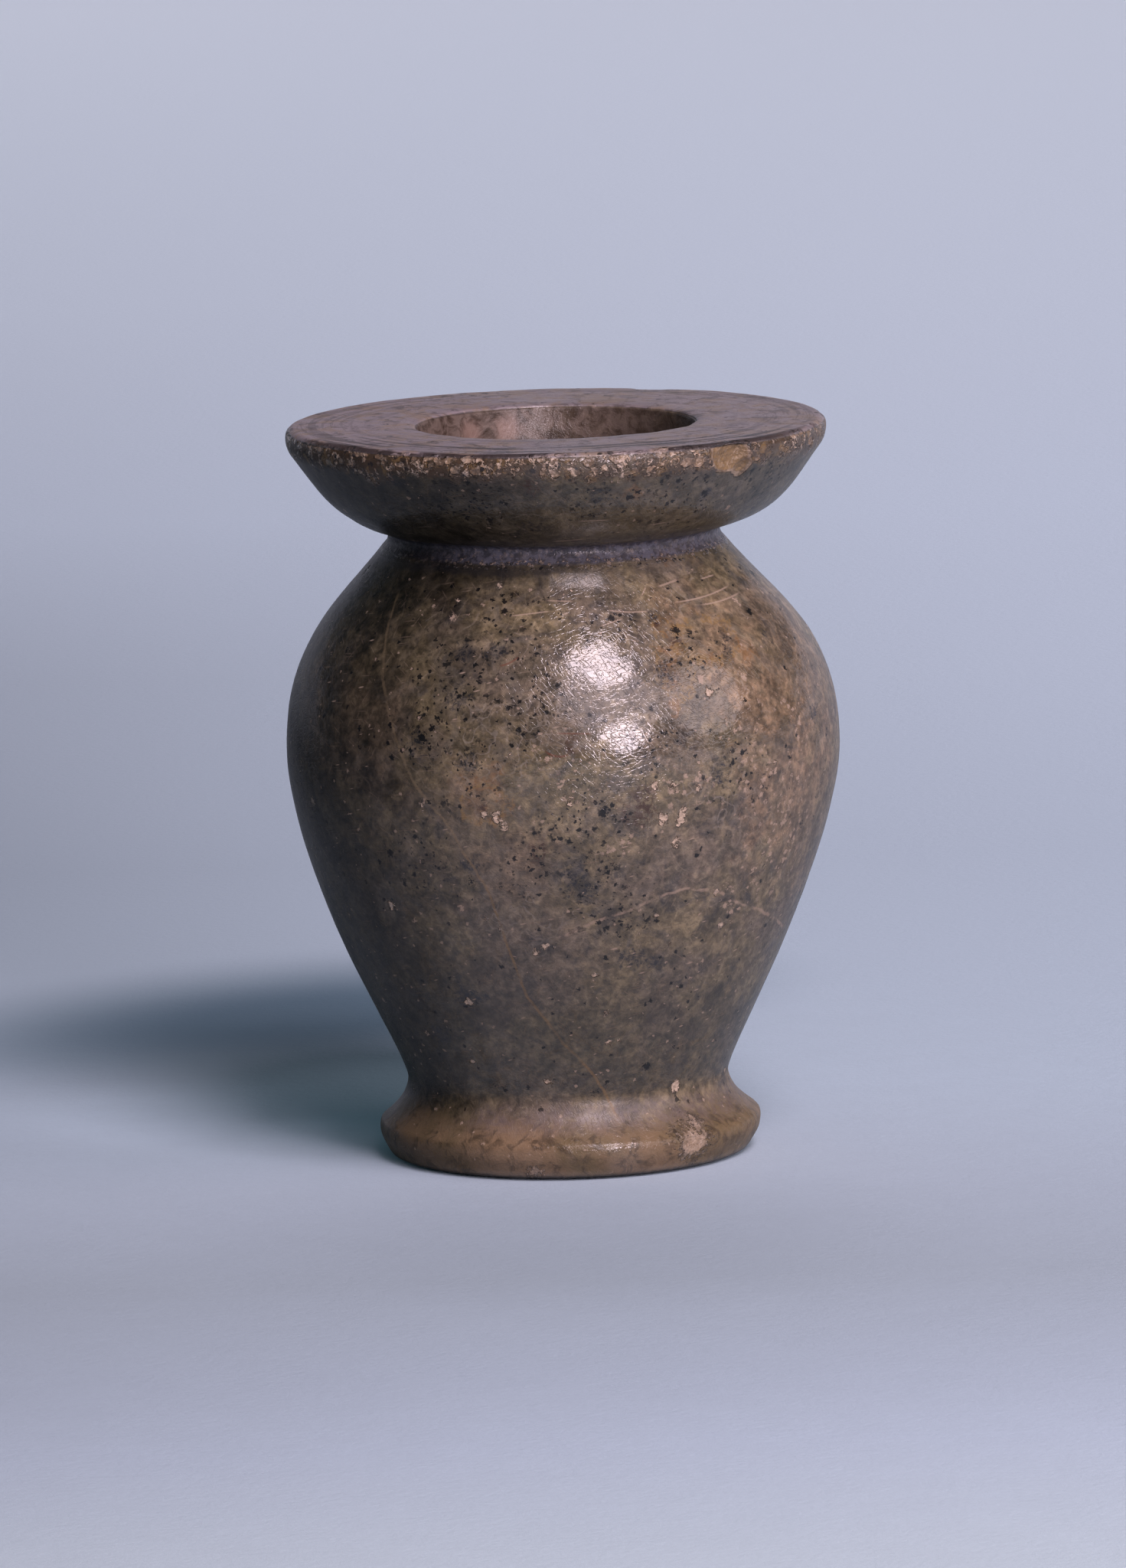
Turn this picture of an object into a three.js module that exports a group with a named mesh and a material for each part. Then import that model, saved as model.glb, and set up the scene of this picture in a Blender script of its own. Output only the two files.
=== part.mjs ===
// A small turned-looking kohl vessel carved from one block of stone, with the dried cake of kohl
// that is left at the bottom of its well. Millimetres, +Z up. The origin is the centre of the
// foot's flat underside.

import * as THREE from 'three';

// Heights of the stretches of the outer form, stacked from the underside of the foot upwards
const FOOT_EDGE_HEIGHT = 1.9; // underside to the widest ring of the foot
const FOOT_TOP_HEIGHT = 3.2; // widest ring of the foot to the waist
const BODY_HEIGHT = 21.9; // waist to the belly, the widest ring of all
const SHOULDER_HEIGHT = 13; // belly to the lower edge of the neck band
const NECK_HOLLOW_HEIGHT = 0.77; // lower edge of the neck band to its deepest line
const NECK_COVE_HEIGHT = 0.33; // deepest line of the neck band to the rim's underside
const UNDERCUT_HEIGHT = 5.15; // rim's underside at the neck to the upper end of the rim's cone
const RIM_EDGE_HEIGHT = 1.75; // end of the cone to the flat top

// Radii, and the widths that lie between one radius and the next
const WAIST_RADIUS = 10.47;
const FOOT_FLARE = 1.98; // how far the foot stands out past the waist
const FOOT_TUCK = 0.55; // how far the foot draws in again towards the surface it stands on
const FOOT_EDGE_ROUND = 0.3;
const FOOT_CREST_IN = 0.24; // where the foot's soft edge ends, inside its widest ring
const FOOT_CREST_UP = 0.64; // and above it
const BELLY_RADIUS = 18;
const WELL_RADIUS = 9.03; // at the mouth
const NECK_WALL = 1.82; // stone between the well and the deepest line of the neck band
const NECK_STEP = 0.42; // how far the shoulder's upper edge stands out past that line
const UNDERCUT_OUT = 0.34; // where the undercut starts, outside the deepest line of the neck
const UNDERCUT_UP = 0.08; // and above the neck band
const RIM_WIDTH = 8.51; // edge of the mouth to the outermost ring of the rim
const RIM_LAND = 0.34; // how far the rim's edge stands out past the upper end of the cone
const RIM_EDGE_ROUND = 0.6;
const MOUTH_ROUND = 0.3;

// The well, drilled down from the mouth and slightly narrower at the bottom
const FLOOR_THICKNESS = 9;
const WELL_NARROWING = 0.7;
const WELL_CORNER = 2;

// The cake of dried kohl, dished where it was scooped out
const KOHL_GAP = 0.3; // between the cake and the wall of the well
const KOHL_LAND = 0.5; // height of the cake's edge above the well's rounded corner
const KOHL_EDGE_ROUND = 0.4;
const KOHL_MIDDLE_THICKNESS = 1.2;

// Headings of the outline in degrees: 0 points away from the axis and 90 points up
const UP = 90;
const FOOT_START = 60;
const FOOT_TOP_START = 144;
const SHOULDER_END = 128;
const UNDERCUT_START = 15;
const CONE_END = 53.6;
const KOHL_DISH_START = 200;
const INWARDS = 180;

// How long each curve holds its first and its last heading, as shares of the curve's reach
const FOOT_EDGE_PULLS = [0.33, 0.4];
const FOOT_CREST_PULLS = [0.45, 0.35];
const FOOT_TOP_PULLS = [0.53, 0.2];
const BODY_PULLS = [0.064, 0.349];
const SHOULDER_PULLS = [0.48, 0.31];
const NECK_HOLLOW_PULLS = [0.3, 0.4];
const NECK_COVE_PULLS = [0.45, 0.4];
const UNDERCUT_PULLS = [0.44, 0.4];
const RIM_EDGE_PULLS = [0.32, 0.4];
const KOHL_DISH_PULLS = [0.25, 0.45];

const SEGMENTS = 64;

const footRadius = WAIST_RADIUS + FOOT_FLARE;
const neckRadius = WELL_RADIUS + NECK_WALL;
const rimRadius = WELL_RADIUS + RIM_WIDTH;
const waistHeight = FOOT_EDGE_HEIGHT + FOOT_TOP_HEIGHT;
const bellyHeight = waistHeight + BODY_HEIGHT;
const shoulderTop = bellyHeight + SHOULDER_HEIGHT;
const neckLine = shoulderTop + NECK_HOLLOW_HEIGHT;
const neckTop = neckLine + NECK_COVE_HEIGHT;
const coneTop = neckTop + UNDERCUT_HEIGHT;
const height = coneTop + RIM_EDGE_HEIGHT;
const wellFloorRadius = WELL_RADIUS - WELL_NARROWING;

function point(radius, z) {
  return new THREE.Vector2(radius, z);
}

function along(heading, length) {
  return point(length, 0).rotateAround(point(0, 0), THREE.MathUtils.degToRad(heading));
}

// A smooth curve between two points that leaves the first and reaches the second along a heading.
function sweep(start, startHeading, end, endHeading, [startPull, endPull]) {
  const reach = start.distanceTo(end);
  const leaving = start.clone().add(along(startHeading, startPull * reach));
  const arriving = end.clone().sub(along(endHeading, endPull * reach));
  return new THREE.CubicBezierCurve(start, leaving, arriving, end);
}

function straight(start, end) {
  return new THREE.LineCurve(start, end);
}

// A round of the given radius about a centre, between two angles in degrees.
function round(centreRadius, centreZ, radius, from, to) {
  const start = THREE.MathUtils.degToRad(from);
  const end = THREE.MathUtils.degToRad(to);
  return new THREE.EllipseCurve(centreRadius, centreZ, radius, radius, start, end, to < from);
}

// Joins [curve, steps] pairs into one list of points, with each shared end taken once.
function trace(stretches) {
  const points = [];
  for (const [curve, steps] of stretches) {
    const fresh = curve.getPoints(steps);
    points.push(...(points.length > 0 ? fresh.slice(1) : fresh));
  }
  return points;
}

// Turns an outline that starts and ends on the axis into a closed solid standing along +Z.
function revolve(outline) {
  return new THREE.LatheGeometry(outline, SEGMENTS).rotateX(Math.PI / 2);
}

// The foot: a flat underside, a swelling edge and a hollow top that runs in to the waist.
function footOutline() {
  const underside = footRadius - FOOT_TUCK - FOOT_EDGE_ROUND;
  const contact = point(footRadius - FOOT_TUCK, FOOT_EDGE_ROUND);
  const widest = point(footRadius, FOOT_EDGE_HEIGHT);
  const crest = point(footRadius - FOOT_CREST_IN, FOOT_EDGE_HEIGHT + FOOT_CREST_UP);
  const waist = point(WAIST_RADIUS, waistHeight);
  return [
    [straight(point(0, 0), point(underside, 0)), 1],
    [round(underside, FOOT_EDGE_ROUND, FOOT_EDGE_ROUND, -90, 0), 2],
    [sweep(contact, FOOT_START, widest, UP, FOOT_EDGE_PULLS), 3],
    [sweep(widest, UP, crest, FOOT_TOP_START, FOOT_CREST_PULLS), 3],
    [sweep(crest, FOOT_TOP_START, waist, UP, FOOT_TOP_PULLS), 4],
  ];
}

// The body: a long taper up from the waist to the belly, then the round of the shoulder.
function bodyOutline() {
  const waist = point(WAIST_RADIUS, waistHeight);
  const belly = point(BELLY_RADIUS, bellyHeight);
  const shoulder = point(neckRadius + NECK_STEP, shoulderTop);
  return [
    [sweep(waist, UP, belly, UP, BODY_PULLS), 10],
    [sweep(belly, UP, shoulder, SHOULDER_END, SHOULDER_PULLS), 10],
  ];
}

// The neck band and the rim above it: an undercut that steepens into a cone, a soft edge and
// the flat top that runs in to the mouth.
function rimOutline() {
  const shoulder = point(neckRadius + NECK_STEP, shoulderTop);
  const neck = point(neckRadius, neckLine);
  const undercut = point(neckRadius + UNDERCUT_OUT, neckTop + UNDERCUT_UP);
  const cone = point(rimRadius - RIM_LAND, coneTop);
  const edge = point(rimRadius, height - RIM_EDGE_ROUND);
  return [
    [sweep(shoulder, SHOULDER_END, neck, UP, NECK_HOLLOW_PULLS), 3],
    [sweep(neck, UP, undercut, UNDERCUT_START, NECK_COVE_PULLS), 3],
    [sweep(undercut, UNDERCUT_START, cone, CONE_END, UNDERCUT_PULLS), 8],
    [sweep(cone, CONE_END, edge, UP, RIM_EDGE_PULLS), 3],
    [round(rimRadius - RIM_EDGE_ROUND, height - RIM_EDGE_ROUND, RIM_EDGE_ROUND, 0, 90), 4],
    [straight(point(rimRadius - RIM_EDGE_ROUND, height), point(WELL_RADIUS + MOUTH_ROUND, height)), 1],
    [round(WELL_RADIUS + MOUTH_ROUND, height - MOUTH_ROUND, MOUTH_ROUND, 90, 180), 3],
  ];
}

// The rounded corner between a wall and the floor of the well, shared by the stone and the cake.
function wellCorner(wallRadius, from, to) {
  return round(wallRadius - WELL_CORNER, FLOOR_THICKNESS + WELL_CORNER, WELL_CORNER, from, to);
}

function wellOutline() {
  const mouth = point(WELL_RADIUS, height - MOUTH_ROUND);
  const wallFoot = point(wellFloorRadius, FLOOR_THICKNESS + WELL_CORNER);
  const floorEdge = point(wellFloorRadius - WELL_CORNER, FLOOR_THICKNESS);
  return [
    [straight(mouth, wallFoot), 4],
    [wellCorner(wellFloorRadius, 0, -90), 5],
    [straight(floorEdge, point(0, FLOOR_THICKNESS)), 1],
  ];
}

function vessel() {
  const outline = trace([...footOutline(), ...bodyOutline(), ...rimOutline(), ...wellOutline()]);
  const stone = new THREE.MeshStandardMaterial({ color: 0x6c6254, roughness: 0.38, metalness: 0 });
  const mesh = new THREE.Mesh(revolve(outline), stone);
  mesh.name = 'vessel';
  return mesh;
}

// The cake stands on the floor of the well: flat below, rounded like the corner, dished above.
function kohlResidue() {
  const wall = wellFloorRadius - KOHL_GAP;
  const top = FLOOR_THICKNESS + WELL_CORNER + KOHL_LAND;
  const crest = point(wall - KOHL_EDGE_ROUND, top);
  const middle = point(0, FLOOR_THICKNESS + KOHL_MIDDLE_THICKNESS);
  const outline = trace([
    [straight(point(0, FLOOR_THICKNESS), point(wall - WELL_CORNER, FLOOR_THICKNESS)), 1],
    [wellCorner(wall, -90, 0), 5],
    [straight(point(wall, FLOOR_THICKNESS + WELL_CORNER), point(wall, top - KOHL_EDGE_ROUND)), 1],
    [round(wall - KOHL_EDGE_ROUND, top - KOHL_EDGE_ROUND, KOHL_EDGE_ROUND, 0, 90), 3],
    [sweep(crest, KOHL_DISH_START, middle, INWARDS, KOHL_DISH_PULLS), 7],
  ]);
  const kohl = new THREE.MeshStandardMaterial({ color: 0x1b1a1d, roughness: 0.85, metalness: 0 });
  const mesh = new THREE.Mesh(revolve(outline), kohl);
  mesh.name = 'kohl_residue';
  return mesh;
}

const kohlVessel = new THREE.Group();
kohlVessel.add(vessel(), kohlResidue());

export default kohlVessel;
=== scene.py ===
"""The looks of the kohl vessel: its chipped and stained stone, the dried kohl, the studio and the camera.

Lengths are in millimetres until they reach Blender, where MM turns them into metres. An azimuth is in
degrees round the vessel: 0 faces the camera of the photograph, and it grows to the right.
"""

import math

import bpy
import numpy as np
from mathutils import Matrix, Vector, noise


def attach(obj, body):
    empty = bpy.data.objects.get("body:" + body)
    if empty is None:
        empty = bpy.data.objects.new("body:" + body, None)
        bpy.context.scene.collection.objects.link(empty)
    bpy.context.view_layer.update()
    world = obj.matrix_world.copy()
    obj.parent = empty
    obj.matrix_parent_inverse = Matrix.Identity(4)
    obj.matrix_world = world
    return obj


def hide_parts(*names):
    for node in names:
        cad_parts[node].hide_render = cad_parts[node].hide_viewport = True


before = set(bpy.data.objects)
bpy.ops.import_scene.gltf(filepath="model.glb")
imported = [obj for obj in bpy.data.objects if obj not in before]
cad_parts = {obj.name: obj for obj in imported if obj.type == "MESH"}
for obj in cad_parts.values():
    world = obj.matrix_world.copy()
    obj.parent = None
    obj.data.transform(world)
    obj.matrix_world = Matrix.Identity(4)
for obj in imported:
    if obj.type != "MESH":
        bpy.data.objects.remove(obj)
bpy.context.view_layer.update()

MM = 0.001

# Driving sizes of the stone: radius and height of the places where its outline changes heading
HEIGHT = 48.0
BELLY = (18.0, 27.0)
WAIST = (10.47, 5.1)
FOOT_RING = (12.45, 1.9)
FOOT_CREST = (12.21, 2.54)
FOOT_TUCK = (11.94, 0.6)
FOOT_LIP = (11.66, 0.22)
FOOT_UNDERSIDE = (10.9, 0.0)
SHOULDER_TOP = (11.27, 40.0)
NECK_LINE = (10.8, 40.77)
UNDERCUT = (11.19, 41.18)
CONE_TOP = (17.2, 46.25)
RIM_EDGE = (17.54, 47.4)
RIM_ROUND = 0.6
MOUTH_RADIUS = 9.03
MOUTH_ROUND = 0.3
WELL_THROAT = (8.62, 44.6)
WELL_FOOT = (8.33, 11.0)
WELL_CORNER = 2.0
WELL_FLOOR = 9.0

# The height above which the stone counts as its flat top, and the radius that the wall is unrolled at
TOP_START = 47.66
MEAN_RADIUS = 15.0

# Columns of the mesh round the stone, and how much closer together they are at the front
COLUMNS = 440
FRONT_CROWDING = 0.4


def heading(degrees):
    return np.array([math.cos(math.radians(degrees)), math.sin(math.radians(degrees))])


def sweep(start, start_heading, end, end_heading, pulls, gap):
    """Points of a smooth curve between two points, about a gap apart, without its last point."""
    start, end = np.array(start), np.array(end)
    reach = np.linalg.norm(end - start)
    leaving = start + pulls[0] * reach * heading(start_heading)
    arriving = end - pulls[1] * reach * heading(end_heading)
    t = np.linspace(0, 1, max(2, round(reach / gap)), endpoint=False)[:, None]
    rest = 1 - t
    return rest**3 * start + 3 * rest**2 * t * leaving + 3 * rest * t**2 * arriving + t**3 * end


def straight(start, end, gap):
    start, end = np.array(start), np.array(end)
    t = np.linspace(0, 1, max(1, round(np.linalg.norm(end - start) / gap)), endpoint=False)[:, None]
    return start + t * (end - start)


def round_corner(centre, radius, first, last, steps):
    angles = np.radians(np.linspace(first, last, steps, endpoint=False))
    return np.array(centre) + radius * np.stack([np.cos(angles), np.sin(angles)], axis=1)


def outer_wall():
    """Radius and height of the rings from the underside's edge up to the edge of the flat rim."""
    rim_inner = RIM_EDGE[0] - RIM_ROUND
    return np.vstack([
        sweep(FOOT_UNDERSIDE, 6, FOOT_LIP, 26, (0.35, 0.35), 0.25),
        sweep(FOOT_LIP, 40, FOOT_TUCK, 62, (0.3, 0.3), 0.16),
        sweep(FOOT_TUCK, 62, FOOT_RING, 90, (0.33, 0.4), 0.2),
        sweep(FOOT_RING, 90, FOOT_CREST, 144, (0.45, 0.35), 0.17),
        sweep(FOOT_CREST, 144, WAIST, 90, (0.53, 0.2), 0.27),
        sweep(WAIST, 90, BELLY, 90, (0.064, 0.349), 0.47),
        sweep(BELLY, 90, SHOULDER_TOP, 128, (0.48, 0.31), 0.42),
        sweep(SHOULDER_TOP, 128, NECK_LINE, 90, (0.3, 0.4), 0.17),
        sweep(NECK_LINE, 90, UNDERCUT, 15, (0.45, 0.4), 0.14),
        sweep(UNDERCUT, 15, CONE_TOP, 53.6, (0.44, 0.4), 0.28),
        sweep(CONE_TOP, 53.6, RIM_EDGE, 90, (0.32, 0.4), 0.12),
        round_corner((rim_inner, HEIGHT - RIM_ROUND), RIM_ROUND, 0, 90, 8),
    ])


def stone_outline():
    """Radius and height of all rings, from the middle of the underside to the well's floor."""
    rim_inner = RIM_EDGE[0] - RIM_ROUND
    mouth_inner = MOUTH_RADIUS + MOUTH_ROUND
    corner_centre = (WELL_FOOT[0] - WELL_CORNER, WELL_FLOOR + WELL_CORNER)
    return np.vstack([
        straight((0.0, 0.0), FOOT_UNDERSIDE, 1.9),
        outer_wall(),
        straight((rim_inner, HEIGHT), (mouth_inner, HEIGHT), 0.4),
        round_corner((mouth_inner, HEIGHT - MOUTH_ROUND), MOUTH_ROUND, 90, 180, 4),
        sweep((MOUTH_RADIUS, HEIGHT - MOUTH_ROUND), -95, WELL_THROAT, -92, (0.3, 0.3), 0.5),
        straight(WELL_THROAT, WELL_FOOT, 3.4),
        round_corner(corner_centre, -WELL_CORNER, 180, 90, 5),
        np.array([[corner_centre[0], WELL_FLOOR], [corner_centre[0] / 2, WELL_FLOOR], [0.0, WELL_FLOOR]]),
    ])


WALL = outer_wall()


def on_stone(azimuth, radius, height):
    """A place in space, from its azimuth in degrees and its radius and height in millimetres."""
    turn = math.radians(azimuth)
    return np.array([radius * math.sin(turn), -radius * math.cos(turn), height])


def on_wall(azimuth, height):
    """A place on the outer wall, from its azimuth and height."""
    return on_stone(azimuth, float(np.interp(height, WALL[:, 1], WALL[:, 0])), height)


def column_angles(count, crowding):
    """Angles of the columns in radians, closer together on the side that the photograph shows."""
    even = np.linspace(-math.pi, math.pi, count, endpoint=False)
    return even - crowding * np.sin(even)


def spin(outline, angles):
    """Vertices and outward faces of an outline that starts and ends on the axis, turned round it."""
    inner = outline[1:-1]
    rings, count = len(inner), len(angles)
    radius = np.repeat(inner[:, 0], count)
    height = np.repeat(inner[:, 1], count)
    turn = np.tile(angles, rings)
    body = np.stack([radius * np.sin(turn), -radius * np.cos(turn), height], axis=1)
    first, last = rings * count, rings * count + 1
    vertices = np.vstack([body, [[0, 0, outline[0, 1]], [0, 0, outline[-1, 1]]]])
    here = np.arange(count)
    after = np.roll(here, -1)
    faces = [(first, b, a) for a, b in zip(here, after)]
    for ring in range(rings - 1):
        low_shade, high = ring * count, (ring + 1) * count
        faces.extend(zip(low_shade + here, low_shade + after, high + after, high + here))
    top = (rings - 1) * count
    faces.extend((top + a, top + b, last) for a, b in zip(here, after))
    return vertices, [tuple(int(i) for i in face) for face in faces]


def rough(points, grain, seed, octaves=1):
    """Smooth noise of about -1 to 1 at points in millimetres, with bumps about a grain wide."""
    shift = Vector((seed * 17.3, seed * 9.1, seed * 5.7))
    values = np.zeros(len(points))
    strength, total = 1.0, 0.0
    for octave in range(octaves):
        scale = 2.0**octave / grain
        values += strength * np.array([noise.noise(Vector(p) * scale + shift) for p in points])
        total += strength
        strength *= 0.5
    return values / total


def outward_directions(vertices, faces):
    """Unit normals of the vertices."""
    mesh = bpy.data.meshes.new("normals")
    mesh.from_pydata(vertices.tolist(), [], faces)
    mesh.update()
    normals = np.empty(len(vertices) * 3)
    mesh.vertices.foreach_get("normal", normals)
    bpy.data.meshes.remove(mesh)
    return normals.reshape(-1, 3)


# The drift of the hand-made axis to the right, in millimetres, at heights above the underside
DRIFT_HEIGHTS = (0.0, 2.5, 5.0, 18.0, 27.0, 34.0, 37.5, 41.2, 42.2, 48.0)
DRIFT = (-0.2, -0.1, -0.2, -0.16, -0.04, -0.05, -0.22, -0.28, 0.0, 0.0)


def lean(vertices):
    """Moves each height sideways by the drift of the axis."""
    moved = vertices.copy()
    moved[:, 0] += np.interp(vertices[:, 2], DRIFT_HEIGHTS, DRIFT)
    return moved


def scoop(vertices, place, direction, reach, depth, seed):
    """Scoops out a shell-shaped chip, a reach wide from its middle. Returns the vertices and depths cut."""
    ball = (reach**2 + depth**2) / (2 * depth)
    centre = place + (ball - depth) * direction
    offset = vertices - centre
    away = np.linalg.norm(offset, axis=1)
    near = np.where(away < ball + 0.3 * depth)[0]
    cut = np.zeros(len(vertices))
    if len(near) == 0:
        return vertices, cut
    ripple = 0.3 * depth * rough(vertices[near], 0.7 * reach, seed, 3)
    cut[near] = np.maximum(0.0, ball + ripple - away[near])
    return vertices + offset * (cut / np.maximum(away, 1e-6))[:, None], cut


# Large chips: azimuth, height, outward tilt in degrees, reach, depth
BIG_CHIPS = (
    (40.0, 46.5, 6.0, 1.6, 0.5),
    (36.8, 47.3, 20.0, 0.8, 0.34),
    (43.6, 46.0, -10.0, 0.8, 0.3),
    (13.0, 47.5, 30.0, 0.7, 0.16),
    (-19.0, 47.6, 35.0, 0.6, 0.14),
    (158.0, 47.4, 40.0, 1.6, 0.5),
    (166.0, 47.2, 20.0, 0.9, 0.3),
    (-118.0, 47.4, 25.0, 1.1, 0.36),
    (96.0, 47.5, 35.0, 0.8, 0.2),
    (39.9, 2.1, -4.0, 1.2, 0.2),
    (-150.0, 2.2, 20.0, 1.1, 0.26),
    (112.0, 1.6, -10.0, 0.8, 0.2),
)
# Small chips round the rim's edge: how many, where the front ones crowd (azimuth and spread), and how far
# below the edge the lowest ones sit
SMALL_CHIPS = 230
SMALL_CHIP_SEED = 11
CHIP_CROWD = (4, 36)
CHIP_DROP = 1.1


def chipped(vertices):
    """Chips the rim and the foot. Returns the new vertices and the depth of stone lost at each."""
    lost = np.zeros(len(vertices))
    for number, (azimuth, height, tilt, reach, depth) in enumerate(BIG_CHIPS):
        direction = on_stone(azimuth, math.cos(math.radians(tilt)), math.sin(math.radians(tilt)))
        vertices, cut = scoop(vertices, on_wall(azimuth, height), direction, reach, depth, 40 + number)
        lost = np.maximum(lost, cut)
    draw = np.random.default_rng(SMALL_CHIP_SEED)
    for number in range(SMALL_CHIPS):
        azimuth = draw.normal(*CHIP_CROWD) if number % 3 else draw.uniform(-180, 180)
        tilt = draw.uniform(-5, 60)
        reach = 0.16 + 0.3 * draw.random() ** 2
        depth = reach * draw.uniform(0.16, 0.32)
        drop = CHIP_DROP * draw.random() * (tilt < 12)
        height = HEIGHT - RIM_ROUND + RIM_ROUND * math.sin(math.radians(tilt)) - drop
        direction = on_stone(azimuth, math.cos(math.radians(tilt)), math.sin(math.radians(tilt)))
        vertices, cut = scoop(vertices, on_wall(azimuth, height), direction, reach, depth, 60 + number)
        lost = np.maximum(lost, cut)
    return vertices, lost


# Pale crusted pits: azimuth, height, radius
PITS = (
    (20.9, 24.2, 0.36), (25.4, 24.6, 0.3), (24.6, 23.9, 0.26), (24.2, 22.6, 0.34), (22.8, 26.3, 0.24),
    (19.0, 26.4, 0.26), (28.5, 26.0, 0.2), (1.4, 25.7, 0.24), (-14.0, 24.7, 0.36), (-12.6, 24.1, 0.3),
    (-16.6, 24.9, 0.2), (-30.6, 25.2, 0.22), (-18.6, 17.9, 0.22), (-15.6, 17.2, 0.12), (-7.4, 15.6, 0.26),
    (-5.0, 15.9, 0.24), (-3.0, 15.8, 0.14), (-28.3, 11.8, 0.3), (-43.9, 18.2, 0.3), (41.0, 5.4, 0.36),
    (11.1, 11.1, 0.22), (12.6, 9.0, 0.2), (15.6, 9.0, 0.14), (26.4, 15.7, 0.22), (21.6, 17.6, 0.2),
    (40.4, 16.4, 0.3), (36.6, 18.9, 0.24), (31.0, 12.6, 0.16), (-24.0, 27.3, 0.22), (-11.0, 28.6, 0.18),
    (4.6, 38.6, 0.1), (-17.0, 38.9, 0.22), (33.5, 32.0, 0.3), (49.0, 26.9, 0.22), (56.0, 23.0, 0.26),
    (7.2, 14.0, 0.2), (-7.0, 6.4, 0.2), (-33.0, 7.6, 0.16), (-29.0, 38.0, 0.16), (16.4, 14.7, 0.14),
)
BACK_PITS = 60
BACK_PIT_SEED = 5
PIT_DEPTH = 0.06
PIT_SLOPE = 0.2
FAR_FROM_PITS = 1.5


def pit_list():
    """The pits that the photograph shows, then others of the same sizes round the rest of the stone."""
    draw = np.random.default_rng(BACK_PIT_SEED)
    pits = list(PITS)
    for _ in range(BACK_PITS):
        pits.append((draw.uniform(75, 290), draw.uniform(4, 39), 0.12 + 0.26 * draw.random() ** 2))
    return pits


def pitted(vertices, normals):
    """Sinks the pits a little. Returns the vertices and how far each lies outside the edge of a pit."""
    outside = np.full(len(vertices), FAR_FROM_PITS)
    for azimuth, height, radius in pit_list():
        distance = np.linalg.norm(vertices - on_wall(azimuth, height), axis=1) - radius
        outside = np.minimum(outside, distance)
    depth = PIT_DEPTH * np.clip(0.5 - outside / PIT_SLOPE, 0, 1)
    return vertices - depth[:, None] * normals, outside


# Veins that run over the stone: azimuths and heights of the places they pass
LONG_VEIN = (
    (-50, 37.0), (-45, 34.0), (-38, 30.4), (-32, 26.6), (-26, 24.5), (-17.5, 19.7), (-14.6, 15.7),
    (-11.6, 12.5), (-1.8, 9.0), (8, 6.6), (12, 5.2),
)
FORK_VEIN = (
    (1, 17.0), (6, 17.6), (13, 18.2), (20, 18.8), (28, 19.4), (34, 19.1), (38, 18.7), (44, 17.8),
    (50, 17.3), (58, 16.5), (66, 15.6),
)
BACK_VEIN = ((98, 34.0), (112, 30.0), (128, 27.5), (140, 21.0), (152, 17.5), (171, 14.0), (186, 9.0))
BACK_FORK_VEIN = ((140, 21.0), (165, 24.5), (190, 24.0), (214, 29.5), (230, 33.0))
VEIN_REACH = 2.2


def along_wall(places):
    """Points about a quarter of a millimetre apart along a line on the outer wall."""
    azimuths, heights = np.array(places, dtype=float).T
    stations = np.arange(len(places))
    steps = np.linspace(0, len(places) - 1, 26 * len(places))
    pairs = zip(np.interp(steps, stations, azimuths), np.interp(steps, stations, heights))
    return np.array([on_wall(azimuth, height) for azimuth, height in pairs])


def beside_vein(vertices, places):
    """How far each vertex lies to one side of a vein, and how close it is to it, 1 on the vein itself."""
    line = along_wall(places)
    near = np.where((np.linalg.norm(vertices[:, :2], axis=1) > 10)
                    & (vertices[:, 2] > line[:, 2].min() - 2) & (vertices[:, 2] < line[:, 2].max() + 2))[0]
    gaps = np.linalg.norm(vertices[near, None, :] - line[None, :, :], axis=2)
    nearest = gaps.argmin(axis=1)
    gap = gaps[np.arange(len(near)), nearest]
    course = np.gradient(line, axis=0)
    outward = line * np.array([1, 1, 0])
    across = np.cross(course, outward)
    across /= np.linalg.norm(across, axis=1)[:, None]
    side = np.zeros(len(vertices))
    share = np.zeros(len(vertices))
    side[near] = ((vertices[near] - line[nearest]) * across[nearest]).sum(axis=1)
    share[near] = np.clip(1 - gap / VEIN_REACH, 0, 1)
    return side, share


def add_vein(mesh, name, vertices, *veins):
    """Stores the nearest of some veins: how far to its side each vertex lies, and how close it is."""
    side, share = beside_vein(vertices, veins[0])
    for places in veins[1:]:
        other_side, other_share = beside_vein(vertices, places)
        nearer = other_share > share
        side, share = np.where(nearer, other_side, side), np.where(nearer, other_share, share)
    add_numbers(mesh, name + "_side", side)
    add_numbers(mesh, name + "_share", share)


def add_numbers(mesh, name, values):
    """Stores one number per vertex, for a material to read."""
    layer = mesh.attributes.new(name, "FLOAT", "POINT")
    layer.data.foreach_set("value", np.ascontiguousarray(values, dtype=np.float32))


def make_piece(name, vertices, faces, material, node):
    """A smooth mesh piece on the root body that stands for a CAD node."""
    mesh = bpy.data.meshes.new(name)
    mesh.from_pydata((vertices * MM).tolist(), [], faces)
    mesh.polygons.foreach_set("use_smooth", np.ones(len(faces), dtype=bool))
    mesh.materials.append(material)
    mesh.update()
    piece = bpy.data.objects.new(name, mesh)
    bpy.context.scene.collection.objects.link(piece)
    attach(piece, "root")
    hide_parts(node)
    return piece


# Unevenness of the worked surface, and more of it on the foot: height and width of its bumps, seed, octaves
SWELLS = ((0.07, 9.0, 1, 1), (0.03, 3.2, 2, 1), (0.012, 1.1, 3, 1))
FOOT_LUMPS = ((0.09, 3.4, 7, 2), (0.03, 1.2, 8, 2))
FOOT_SINK = 0.02

# A low ridge under the neck band that catches the lamp: azimuth, height and how far it stands out
NECK_RIDGE = (6.0, 39.6, 0.22)

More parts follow.
